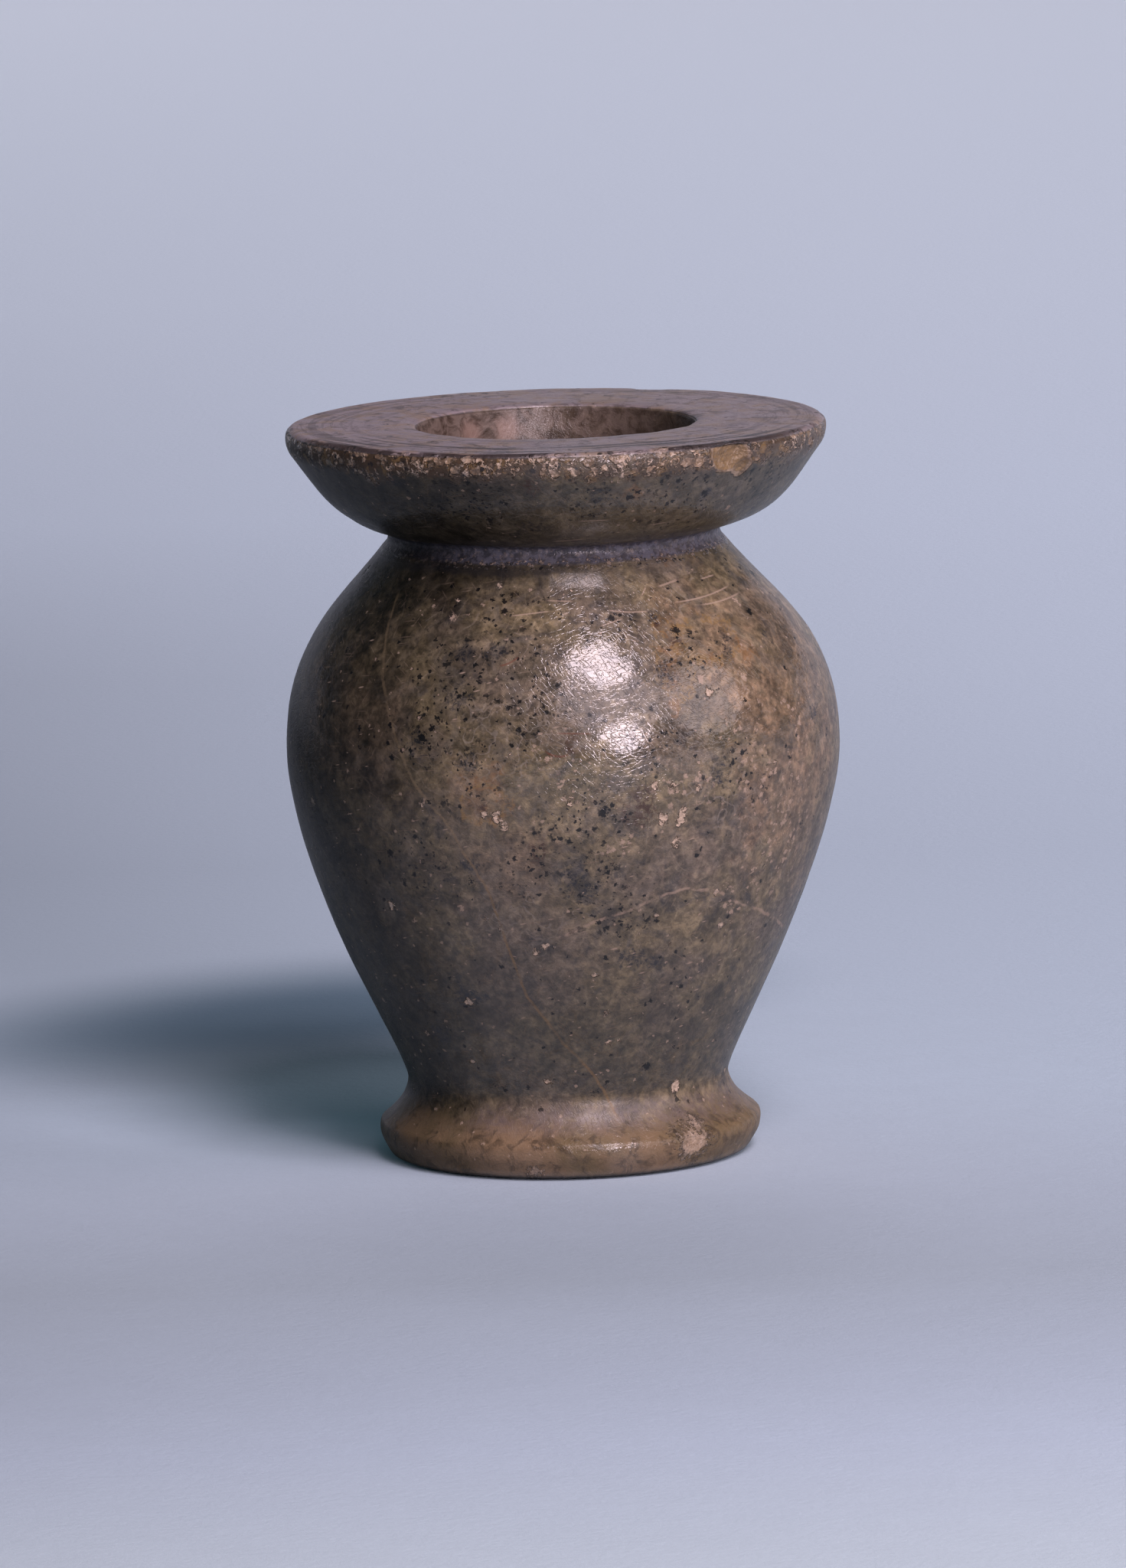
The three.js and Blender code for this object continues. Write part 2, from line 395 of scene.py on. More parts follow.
# Wear of the mouth's edge: how deep and how wide, on the flat rim round the well
MOUTH_WEAR = (0.15, 0.6)


def bumps(vertices, layers):
    return sum(high * rough(vertices, wide, seed, octaves) for high, wide, seed, octaves in layers)


def worked(vertices, normals, calm):
    """The uneven surface of handwork, with the ridge under the neck band, but not where it is calm."""
    height = vertices[:, 2]
    swell = bumps(vertices, SWELLS)
    outside = np.hypot(vertices[:, 0], vertices[:, 1]) > MOUTH_RADIUS
    on_foot = np.clip((WAIST[1] + 0.1 - height) / 1.5, 0, 1) * outside
    swell += on_foot * (bumps(vertices, FOOT_LUMPS) - FOOT_SINK)
    turn = np.degrees(np.arctan2(vertices[:, 0], -vertices[:, 1]))
    azimuth, middle, high = NECK_RIDGE
    ridge = np.exp(-((height - middle) / 0.5) ** 2 / 2) * (height < middle + 1)
    swell += high * ridge * np.clip((12 - abs(turn - azimuth)) / 4, 0, 1)
    return vertices + (swell * (1 - calm))[:, None] * normals


def worn_mouth(vertices):
    """Rounds the mouth's edge off by wear, on the flat rim."""
    radius = np.hypot(vertices[:, 0], vertices[:, 1])
    depth, width = MOUTH_WEAR
    wear = depth * np.exp(-np.clip(radius - MOUTH_RADIUS, 0, None) / width)
    wear *= 1 + 0.5 * rough(vertices, 1.6, 9, 2)
    vertices[:, 2] -= np.where((vertices[:, 2] > 47.2) & (radius < 12), wear, 0)
    return vertices


def make_stone(material):
    vertices, faces = spin(stone_outline(), column_angles(COLUMNS, FRONT_CROWDING))
    normals = outward_directions(vertices, faces)
    inside = (np.hypot(vertices[:, 0], vertices[:, 1]) < 9.4) & (vertices[:, 2] < 47.6)
    grounded = np.clip(vertices[:, 2] / 1.5, 0, 1)
    calm = np.where(inside & (vertices[:, 2] < 14), 1.0, 1.0 - grounded)
    vertices = worn_mouth(worked(vertices, normals, calm))
    vertices, outside_pits = pitted(vertices, normals)
    vertices, lost = chipped(vertices)
    vertices = np.where(inside[:, None], vertices, lean(vertices))
    piece = make_piece("vessel_stone", vertices, faces, material, "vessel")
    add_numbers(piece.data, "lost", lost)
    add_numbers(piece.data, "outside_pits", outside_pits)
    add_vein(piece.data, "orange_vein", vertices, LONG_VEIN, BACK_VEIN)
    add_vein(piece.data, "pale_vein", vertices, FORK_VEIN, BACK_FORK_VEIN)
    return piece


# The dried kohl: radius and heights of the cake, the round of its edge, and the lumps and cracks of its top
KOHL_WALL = 8.03
KOHL_TOP = 11.5
KOHL_MIDDLE = 10.2
KOHL_ROUND = 0.4
KOHL_COLUMNS = 200
KOHL_LUMPS = ((0.16, 2.2, 21, 3),)
KOHL_SINK = 0.12
PLATE_SIZE = 2.6
CRACK_WIDTH = 0.09
CRACK_DEPTH = 0.22


def kohl_outline():
    corner = (KOHL_WALL - WELL_CORNER, WELL_FLOOR + WELL_CORNER)
    crest = (KOHL_WALL - KOHL_ROUND, KOHL_TOP)
    return np.vstack([
        straight((0.0, WELL_FLOOR), (corner[0], WELL_FLOOR), 1.5),
        round_corner(corner, WELL_CORNER, -90, 0, 7),
        straight((KOHL_WALL, corner[1]), (KOHL_WALL, KOHL_TOP - KOHL_ROUND), 0.2),
        round_corner((crest[0], KOHL_TOP - KOHL_ROUND), KOHL_ROUND, 0, 90, 4),
        sweep(crest, 200, (0.0, KOHL_MIDDLE), 180, (0.25, 0.45), 0.16),
        np.array([[0.0, KOHL_MIDDLE]]),
    ])


def make_kohl(material):
    """A dished cake with a lumpy, cracked top and a flat underside."""
    vertices, faces = spin(kohl_outline(), column_angles(KOHL_COLUMNS, 0.0))
    radius = np.hypot(vertices[:, 0], vertices[:, 1])
    top = (vertices[:, 2] > WELL_FLOOR + 1.1) & (radius < KOHL_WALL - 0.35)
    points = vertices[top]
    plates = np.array([noise.voronoi(Vector(p) / PLATE_SIZE)[0][:2] for p in points])
    crack = np.clip(1 - (plates[:, 1] - plates[:, 0]) / CRACK_WIDTH, 0, 1)
    vertices[top, 2] += bumps(points, KOHL_LUMPS) - CRACK_DEPTH * crack - KOHL_SINK
    piece = make_piece("kohl_cake", vertices, faces, material, "kohl_residue")
    deep = np.zeros(len(vertices))
    deep[top] = crack
    add_numbers(piece.data, "crack", deep)
    return piece


def linear(red, green, blue):
    """A colour given in 0 to 255 steps as a screen shows it, turned into a linear one."""
    def channel(value):
        value = value / 255
        return value / 12.92 if value <= 0.04045 else ((value + 0.055) / 1.055) ** 2.4
    return (channel(red), channel(green), channel(blue), 1.0)


class Sheet:
    """A material being built: short calls that add a node, join it up and give back its output."""

    def __init__(self, name):
        self.material = bpy.data.materials.new(name)
        self.material.use_nodes = True
        self.tree = self.material.node_tree
        self.shader = self.tree.nodes["Principled BSDF"]
        coordinates = self.node("TexCoord", {})
        self.place = self.vector("SCALE", coordinates.outputs["Object"], scale=1 / MM)
        self.x, self.y, self.height = self.node("SeparateXYZ", {0: self.place}).outputs
        self.colour = None

    def feed(self, socket, value):
        if hasattr(value, "is_linked"):
            self.tree.links.new(value, socket)
        else:
            socket.default_value = value

    def node(self, kind, inputs, **settings):
        """A node of a kind with its settings, and its inputs fed by their names or numbers."""
        node = self.tree.nodes.new("ShaderNode" + kind)
        for name, value in settings.items():
            setattr(node, name, value)
        for socket, value in inputs.items():
            self.feed(node.inputs[socket], value)
        return node

    def math(self, operation, first, second=0.0, third=0.0):
        return self.node("Math", {0: first, 1: second, 2: third}, operation=operation).outputs[0]

    def vector(self, operation, first, second=(0, 0, 0), scale=1.0):
        node = self.node("VectorMath", {0: first, 1: second, 3: scale}, operation=operation)
        return node.outputs[1] if operation in ("DOT_PRODUCT", "LENGTH", "DISTANCE") else node.outputs[0]

    def most(self, result, *others):
        for value in others:
            result = self.math("MAXIMUM", result, value)
        return result

    def times(self, result, *others):
        for value in others:
            result = self.math("MULTIPLY", result, value)
        return result

    def spread(self, value, low_shade, high, first=0.0, last=1.0):
        """Maps low to first and high to last, smoothly, and holds the ends."""
        ends = {"Value": value, "From Min": low_shade, "From Max": high, "To Min": first, "To Max": last}
        return self.node("MapRange", ends, interpolation_type="SMOOTHSTEP").outputs[0]

    def fall(self, value, low_shade, high):
        """1 up to low, and smoothly down to 0 at high."""
        return self.spread(value, low_shade, high, 1.0, 0.0)

    def line(self, away, width, core):
        """1 near where a value is 0, in the core share of a line's width, and 0 from its width on."""
        return self.fall(self.math("ABSOLUTE", away), core * width, width)

    def between(self, value, low_shade, high, soft):
        """1 from low to high, with soft ends."""
        rise = self.spread(value, low_shade - soft, low_shade + soft)
        return self.times(rise, self.fall(value, high - soft, high + soft))

    def clouds(self, size, detail=3.0, roughness=0.5, warp=0.0, at=None, shift=(0, 0, 0)):
        """Noise of 0 to 1 with features about a size wide, in millimetres."""
        place = self.vector("ADD", at or self.place, shift)
        shape = {"Scale": 1 / size, "Detail": detail, "Roughness": roughness, "Distortion": warp}
        return self.node("TexNoise", {"Vector": place, **shape}).outputs["Fac"]

    def stirred(self, size, amount, shift=(0, 0, 0)):
        """The place, pushed about by up to an amount in bumps about a size wide."""
        place = self.vector("ADD", self.place, shift)
        bumps = self.node("TexNoise", {"Vector": place, "Scale": 1 / size, "Detail": 3.0}).outputs["Color"]
        push = self.vector("SUBTRACT", bumps, (0.5, 0.5, 0.5))
        return self.vector("ADD", self.place, self.vector("SCALE", push, scale=2 * amount))

    def cells(self, size, at=None, shift=(0, 0, 0)):
        """How far a point lies from the middle of its cell, and a random colour for each cell."""
        place = self.vector("ADD", at or self.place, shift)
        node = self.node("TexVoronoi", {"Vector": place, "Scale": 1 / size})
        return node.outputs["Distance"], node.outputs["Color"]

    def specks(self, size, width, share, at=None, shift=(0, 0, 0), soft=0.35, fray=1.0):
        """Dots up to a width across in a share of cells a size wide, with soft or frayed edges."""
        away, chances = self.cells(size, at, shift)
        split = self.node("SeparateColor", {0: chances})
        reach = self.math("MULTIPLY_ADD", split.outputs[1], 0.35 * width / size, 0.15 * width / size)
        chosen = self.math("LESS_THAN", split.outputs[0], share)
        return self.times(self.fall(self.times(away, fray), self.times(reach, 1 - soft), reach), chosen)

    def mix(self, share, first, second):
        return self.node("Mix", {0: share, 6: first, 7: second}, data_type="RGBA").outputs[2]

    def paint(self, colour, *shares):
        """Lays a colour over the sheet's own, as strongly as the product of some shares."""
        self.colour = self.mix(self.times(*shares), self.colour, colour)

    def blend(self, share, first, second):
        """A number that goes from the first value to the second as the share goes from 0 to 1."""
        return self.node("Mix", {0: share, 2: first, 3: second}, data_type="FLOAT").outputs[0]

    def ramp(self, value, stops):
        """A colour that runs through (position, colour) stops as the value goes from 0 to 1."""
        node = self.node("ValToRGB", {0: value})
        first, last = node.color_ramp.elements
        first.position, first.color = stops[0]
        last.position, last.color = stops[-1]
        for position, colour in stops[1:-1]:
            node.color_ramp.elements.new(position).color = colour
        return node.outputs[0]

    def number(self, name):
        return self.node("Attribute", {}, attribute_name=name).outputs["Fac"]

    def relief(self, height, depth, normal=None):
        """A bump whose full height is a depth in millimetres, on top of another bump."""
        bump = self.node("Bump", {"Distance": depth * MM, "Height": height})
        if normal is not None:
            self.feed(bump.inputs["Normal"], normal)
        return bump.outputs[0]

    def stains(self, places, edge, ragged=1.0):
        """1 in the middle of each place (azimuth, height, reach) on the wall, 0 past its ragged edge."""
        nearest = None
        for azimuth, height, reach in places:
            away = self.vector("DISTANCE", self.place, tuple(on_wall(azimuth, height)))
            away = self.math("DIVIDE", away, reach)
            nearest = away if nearest is None else self.math("MINIMUM", nearest, away)
        wobble = self.math("MULTIPLY_ADD", edge, 2 * ragged, -ragged)
        return self.fall(self.math("ADD", nearest, wobble), 0.35, 1.0)

    def vein(self, name, width, wander):
        """A thin wandering line along the veins of a name that the mesh stores."""
        wave = self.clouds(2.4, 3.0, 0.55, shift=(3, len(name), 7))
        wave = self.math("MULTIPLY_ADD", wave, 2 * wander, -wander)
        away = self.math("ADD", self.number(name + "_side"), wave)
        return self.times(self.line(away, width, 0.25), self.spread(self.number(name + "_share"), 0.2, 0.5))

    def stroke(self, start, end, width, bow=0.0):
        """A short score on the wall between two places of azimuth and height."""
        first, last = Vector(on_wall(*start)), Vector(on_wall(*end))
        course = (last - first).normalized()
        middle = (first + last) / 2
        outward = Vector((middle.x, middle.y, 0)).normalized()
        across = course.cross(outward).normalized()
        offset = self.vector("SUBTRACT", self.place, tuple(middle))
        away = self.vector("DOT_PRODUCT", offset, tuple(across))
        run = self.vector("DOT_PRODUCT", offset, tuple(course))
        half = (last - first).length / 2
        away = self.math("ADD", away, self.times(run, run, bow / half**2))
        front = self.math("GREATER_THAN", self.vector("DOT_PRODUCT", self.place, tuple(outward)), 0.0)
        return self.times(self.line(away, width, 0.3), self.line(run, half, 0.6), front)

    def unrolled(self, tilt, length, width, shift):
        """The wall laid flat and turned by a tilt, with a length and a width both made 1."""
        turn = self.math("ARCTAN2", self.x, self.times(self.y, -1.0))
        around = self.times(turn, MEAN_RADIUS)
        radius = self.vector("LENGTH", self.vector("MULTIPLY", self.place, (1, 1, 0)))
        flat = self.math("GREATER_THAN", self.height, TOP_START)
        up = self.math("MULTIPLY_ADD", radius, flat, self.height)
        cosine, sine = math.cos(math.radians(tilt)), math.sin(math.radians(tilt))
        run = self.math("ADD", self.times(around, cosine / length), self.times(up, sine / length))
        across = self.math("ADD", self.times(around, -sine / width), self.times(up, cosine / width))
        return self.node("CombineXYZ", {0: run, 1: across, 2: shift}).outputs[0]

    def dashes(self, tilt, length, width, share, shift):
        """Short straight scores along a tilt, in a share of the cells of a flat grid."""
        flat = self.unrolled(tilt, 2.6 * length, 2.6 * width, shift)
        return self.specks(1.0, 0.8, share, flat, soft=0.7)

    def threads(self, size, width, shift, warp=0.0):
        """Long thin curved lines, where noise with bumps about a size wide crosses its middle."""
        wave = self.clouds(size, 1.5, 0.45, warp, shift=shift)
        return self.line(self.math("SUBTRACT", wave, 0.5), width, 0.25)

    def loop(self, azimuth, height, half_width, half_height, width, wobble):
        """A line round an oval on the wall."""
        offset = self.vector("SUBTRACT", self.place, tuple(on_wall(azimuth, height)))
        across = tuple(on_stone(azimuth + 90, 1.0, 0.0))
        run = self.math("DIVIDE", self.vector("DOT_PRODUCT", offset, across), half_width)
        rise = self.math("DIVIDE", self.math("SUBTRACT", self.height, height), half_height)
        away = self.math("SQRT", self.math("ADD", self.times(run, run), self.times(rise, rise)))
        away = self.math("ADD", away, self.math("MULTIPLY_ADD", wobble, 1.0, -1.5))
        front = self.vector("DOT_PRODUCT", self.place, tuple(on_stone(azimuth, 1.0, 0.0)))
        return self.times(self.line(away, width, 0.3), self.math("GREATER_THAN", front, 0.0))

    def hairs(self, tilt, length, width, shift):
        """Fine wavering lines along a tilt."""
        wave = self.clouds(1.0, 2.0, 0.5, at=self.unrolled(tilt, length, width, shift))
        return self.line(self.math("SUBTRACT", wave, 0.5), 0.05, 0.0)


# Colours of the stone as a screen shows them
OLIVE = linear(118, 105, 80)
GREY_OLIVE = linear(106, 94, 80)
DEEP_OLIVE = linear(59, 55, 42)
BLUE_GREY = linear(58, 56, 58)
SHADE_BLACK_GREEN = linear(34, 31, 25)
PALE_OLIVE = linear(140, 128, 105)
WARM_BROWN = linear(119, 101, 80)
ROSE_TAN = linear(138, 115, 91)
FOOT_BROWN = linear(116, 99, 72)
FOOT_ROSE = linear(140, 116, 90)
FOOT_DARK = linear(66, 54, 42)
FOOT_SHEEN_LILAC = linear(107, 95, 94)
ORANGE = linear(138, 100, 60)
OCHRE = linear(140, 113, 70)
VEIN_OCHRE = linear(134, 106, 66)
VEIN_TAN = linear(142, 124, 96)
RUST = linear(66, 43, 29)
INK = linear(14, 14, 17)
BLUE_INK = linear(26, 27, 34)
SLATE = linear(46, 45, 48)
CRUST = linear(202, 180, 158)
FLECK = linear(184, 162, 144)
HAZE = linear(156, 146, 134)
FRESH = linear(160, 134, 110)
RIM_BROWN = linear(82, 66, 52)
UNDERCUT_OLIVE = linear(80, 75, 60)
AMBER = linear(142, 115, 76)
NECK_SLATE = linear(114, 114, 128)
RIM_LILAC_SHEEN = linear(154, 142, 147)
RIM_TAN_SHEEN = linear(155, 136, 123)
RIM_UMBER = linear(62, 53, 52)
RIM_PALE = linear(152, 135, 132)
GLINT = linear(228, 208, 192)
RUSSET = linear(112, 66, 50)
WELL_BROWN = linear(117, 102, 94)
WELL_HIGHLIGHT_ROSE = linear(176, 146, 134)
WELL_DARK_AND_SHADE = linear(66, 52, 44)

# Stains on the wall: azimuth, height, reach
BROWN_STAINS = (
    (57, 31, 10), (-46, 30.5, 4.5), (44, 35.5, 6), (63, 24, 8), (32, 34, 3.5), (-19, 26, 3.5),
    (-11, 22, 3.5), (150, 28, 12), (-110, 18, 8),
)
ROSE_STAINS = (
    (40, 32.4, 3.2), (50, 30.5, 3.5), (46, 34.9, 2.4), (60, 27.5, 4), (48, 24.5, 4.5), (35, 37.4, 2),
    (165, 25, 5),
)
ORANGE_STAINS = (
    (27.4, 36, 1.3), (26, 34.6, 1.1), (26, 33, 1.0), (24.5, 31.2, 0.8), (47, 34.2, 1.1), (36, 33.9, 0.8),
    (17.2, 45, 0.9), (-19, 47.5, 0.8), (-17.9, 26.1, 1.9), (-14.5, 25.2, 1.3), (38, 40.2, 0.8),
    (170, 30, 2.6), (-140, 24, 1.8), (100, 22, 1.4), (-14, 27.6, 0.9),
)
RUST_STAINS = (
    (-5.6, 22.2, 1.0), (-16.5, 25.2, 1.0), (15.5, 25.1, 1.5), (28.6, 35.4, 0.9), (25, 36.3, 0.6),
    (2, 29.2, 1.1), (-6, 46, 1.3), (140, 31, 1.2),
)
DARK_STAINS = (
    (23.9, 33.2, 0.95), (43, 35.3, 0.6), (41.5, 34.4, 0.5), (57, 34.7, 0.6), (66, 29.8, 0.7),
    (25.2, 36.8, 0.6), (1.5, 20.7, 1.1), (5.5, 19.8, 0.8), (-21, 21.6, 0.8), (-24, 34.9, 0.8),
    (-16, 35.1, 0.9), (-23, 32, 1.1), (-28, 12.2, 1.1), (-32, 29.2, 0.9), (-20.5, 28.2, 0.8),
    (15.4, 15, 1.0), (22, 14.4, 0.7), (-42, 9.5, 1.0), (-5.6, 42.9, 1.0), (-9, 42.6, 0.8),
    (8.8, 45.4, 0.6), (9.5, 44.8, 0.5), (36, 44.6, 0.6), (-38, 46, 0.7), (33, 26.6, 0.9), (120, 30, 2.0),
    (-130, 20, 2.0), (-95, 33, 1.6), (160, 12, 1.8),
)
SPECKLED = (
    (-24, 33.8, 5), (-14, 34.6, 4), (-28, 30.5, 4), (-6, 32, 3.5), (-20, 27, 4), (3, 24.5, 4),
    (6, 20.5, 3.5), (-8, 21.5, 3), (-14, 37.4, 3), (12, 18, 4), (20, 29, 3), (14, 36.6, 2.5),
    (30, 34.5, 3), (-32, 21, 4), (30, 45, 6), (12, 46, 5), (-20, 45.4, 5), (52, 45.6, 4), (40, 26.5, 4),
    (120, 28, 8), (-130, 24, 8), (165, 16, 6), (-90, 36, 5), (-160, 45, 7),
)
MEALY = (
    (48, 25.2, 5), (52, 21.6, 4.5), (40, 29.6, 2.6), (56, 28.8, 2.6), (26, 26.4, 2.6), (2, 27.4, 2.2),
    (-3, 28.6, 1.8), (43, 18.2, 3), (11, 22.3, 1.6), (135, 33, 6), (-150, 14, 6), (-100, 26, 4),
)
# Fine pale webs: azimuth, height, reach
WEBS = ((-14, 29.5, 4.5), (-3, 31, 3.5), (-8, 17, 4), (34, 25, 4), (130, 26, 6))
# Ochre lines round ovals: azimuth, height, half width, half height
OCHRE_LOOPS = ((37.5, 35.1, 2.5, 1.2), (26.5, 34.2, 1.2, 2.4), (-17, 25.6, 1.5, 1.2), (140, 30, 3, 2))
# Painted glints on the rim's edge, over pale crust: azimuth, height, reach
GLINTING = (
    (13.2, 46.8, 0.9), (-1, 47.2, 0.6), (3, 47.1, 0.5), (-20, 46.9, 0.5), (-31, 46.8, 0.6), (160, 47, 2),
)
# Azimuths of the two painted highlights high on the wall of the well
PAINTED_WELL_HIGHLIGHTS = (219.0, 201.0)
FOOT_CRUST = (
    (39.9, 2.2, 1.5), (43.5, 3.0, 0.8), (37.0, 1.3, 0.7), (-12, 0.6, 0.6), (-152, 2.2, 1.6),
    (110, 1.6, 1.0),
)


# The side of the stone darkened by painted shade, reaching higher up under the rim: the azimuth of its
# middle, and the cosines between which its edge lies
SHADE_SIDE_AZIMUTH = -84
SHADE_SIDE_EDGE = (0.37, 0.91)

# Long scores: the azimuth and height of both ends, width, and bow where there is one
LONG_SCORES = (
    ((32, 37.3), (59, 37.8), 0.065, 0.12), ((40, 37.0), (61, 37.3), 0.065, 0.1),
    ((30, 38.4), (39, 38.7), 0.08), ((47, 38.5), (55, 38.6), 0.065), ((-14, 37.1), (-2, 37.4), 0.055),
    ((-4.2, 38.0), (4, 37.9), 0.06), ((12, 37.25), (25, 37.0), 0.06, 0.1),
    ((9.9, 36.4), (16.8, 36.8), 0.05), ((-2, 41.75), (8, 41.9), 0.06), ((4.5, 43.3), (13, 43.3), 0.05),
    ((24, 42.7), (29, 42.8), 0.05), ((24, 38.0), (26.5, 38.5), 0.06),
)
RUSSET_SCORES = (((-14.3, 34.1), (-9.6, 34.7), 0.09, 0.12), ((-4.2, 28.8), (1.2, 28.5), 0.1, 0.25),
                 ((-2, 30.1), (6.4, 30.0), 0.06))
# Scattered straight scores: tilt in degrees, length, width, share of the cells that hold one, seed
SHORT_SCORES = ((8, 0.8, 0.06, 0.28, 3.0), (-32, 0.6, 0.05, 0.24, 8.0), (68, 0.5, 0.05, 0.24, 15.0))
POLISH_SCORES = ((25, 0.7, 0.07, 0.35, 21.0), (-20, 0.8, 0.06, 0.35, 24.0), (-65, 0.6, 0.07, 0.35, 27.0))
# Wavering hairlines in the polish: tilt, length, width, seed
POLISH_HAIRS = ((12, 1.3, 0.4, 1.0), (-50, 1.0, 0.36, 6.0))


class StoneSheet(Sheet):
    """The sheet of the stone, with the noises and regions that several of its marks share."""

    def __init__(self):
        super().__init__("carved_stone")
        self.broad = self.clouds(6.5, 5.0, 0.58, 0.5)
        self.edge = self.clouds(2.4, 5.0, 0.62, 0.5, shift=(5, 40, 11))
        self.mottle = self.clouds(1.2, 5.0, 0.64, 0.7, shift=(13, 3, 27))
        self.patchy = self.spread(self.clouds(0.7, 5.0, 0.68, 0.6, shift=(2, 9, 4)), 0.34, 0.66)
        self.grit = self.clouds(0.32, 4.0, 0.7, shift=(6, 6, 1))
        self.radius = self.vector("LENGTH", self.vector("MULTIPLY", self.place, (1, 1, 0)))
        self.below_top = self.fall(self.height, TOP_START, TOP_START + 0.15)
        self.painted_shade_side = self.find_painted_shade_side()

    def find_painted_shade_side(self):
        """1 on the side of the stone darkened by painted shade, 0 past its ragged edge at the front."""
        flat = self.vector("NORMALIZE", self.vector("MULTIPLY", self.place, (1, 1, 0)))
        facing = self.vector("DOT_PRODUCT", flat, tuple(on_stone(SHADE_SIDE_AZIMUTH, 1.0, 0.0)))
        shoulder = self.spread(self.height, 31.0, 37.0, 0.0, 0.08)
        upwards = self.math("ADD", shoulder, self.spread(self.height, 36.8, 39.8, 0.0, 0.26))
        ragged = self.math("ADD", self.math("MULTIPLY_ADD", self.edge, 0.5, -0.25), upwards)
        return self.spread(self.math("ADD", facing, ragged), *SHADE_SIDE_EDGE)


def stone_ground(s):
    """The clouded body of the stone: olive, grey and brown, with painted shade on its left side and towards
    its bottom.
    """
    fine = s.clouds(1.5, 5.0, 0.62, 0.3, shift=(31, 7, 3))
    wisps = s.clouds(0.9, 6.0, 0.66, 1.6, shift=(11, 2, 8))
    bluish = s.clouds(2.2, 6.0, 0.64, 0.8, shift=(17, 25, 5))
    s.colour = s.mix(s.spread(s.broad, 0.4, 0.6), GREY_OLIVE, OLIVE)
    s.paint(DEEP_OLIVE, s.spread(fine, 0.46, 0.68), 0.55)
    s.paint(BLUE_GREY, s.spread(bluish, 0.5, 0.66), 0.62)
    s.paint(PALE_OLIVE, s.spread(wisps, 0.48, 0.72), 0.5)
    s.paint(WARM_BROWN, s.stains(BROWN_STAINS, s.edge, 1.3), s.spread(fine, 0.3, 0.6, 1.0, 0.5), 0.8)
    s.paint(ROSE_TAN, s.stains(ROSE_STAINS, s.edge, 1.6), s.patchy, 0.8)
    # Partly the stone's deeper olive, partly painted shade: the body darker towards its bottom
    low_shade = s.spread(s.math("MULTIPLY_ADD", s.edge, 6.0, s.height), 11.0, 22.0, 0.74, 0.0)
    s.paint(DEEP_OLIVE, low_shade, s.spread(s.height, 4.6, 6.0), s.spread(fine, 0.36, 0.58, 1.2, 0.6))
    s.paint(UNDERCUT_OLIVE, s.between(s.height, 41.2, 46.0, 0.5), 0.62)
    # Painted shade: the left side of the stone, and higher up under the rim, darkened to black-green
    s.paint(SHADE_BLACK_GREEN, s.painted_shade_side, s.spread(fine, 0.36, 0.62, 0.98, 0.62))
    small = s.spread(s.clouds(0.5, 4.0, 0.64, 0.5, shift=(41, 13, 7)), 0.36, 0.64, 0.68, 1.32)
    middling = s.spread(s.clouds(1.3, 4.0, 0.62, 0.6, shift=(23, 31, 17)), 0.38, 0.62, 0.77, 1.23)
    large = s.spread(s.clouds(2.7, 4.0, 0.6, 0.8, shift=(3, 61, 27)), 0.38, 0.62, 0.84, 1.16)
    s.colour = s.vector("SCALE", s.colour, scale=s.times(small, middling, large))


def paint_foot(s):
    """A browner foot, with painted shade on its left and a painted lilac sheen above its ring. Returns
    where the foot is.
    """
    foot = s.fall(s.math("MULTIPLY_ADD", s.mottle, 1.6, s.height), 3.6, 5.4)
    colour = s.mix(s.spread(s.broad, 0.4, 0.6), FOOT_ROSE, FOOT_BROWN)
    colour = s.mix(s.spread(s.mottle, 0.48, 0.62, 0.0, 0.75), colour, FOOT_DARK)
    colour = s.mix(s.spread(s.patchy, 0.4, 0.9, 0.0, 0.3), colour, FOOT_ROSE)
    s.paint(colour, foot, 0.85)
    # Painted shade on the foot's left side
    s.paint(DEEP_OLIVE, foot, s.painted_shade_side, 0.45)
    # Painted sheen: lilac on the slope above the foot's ring, kept off the shaded left
    slope = s.times(s.between(s.height, 3.1, 4.7, 0.6), s.spread(s.patchy, 0.0, 1.0, 0.2, 0.6))
    s.paint(FOOT_SHEEN_LILAC, slope, s.fall(s.painted_shade_side, 0.3, 0.9))
    return foot


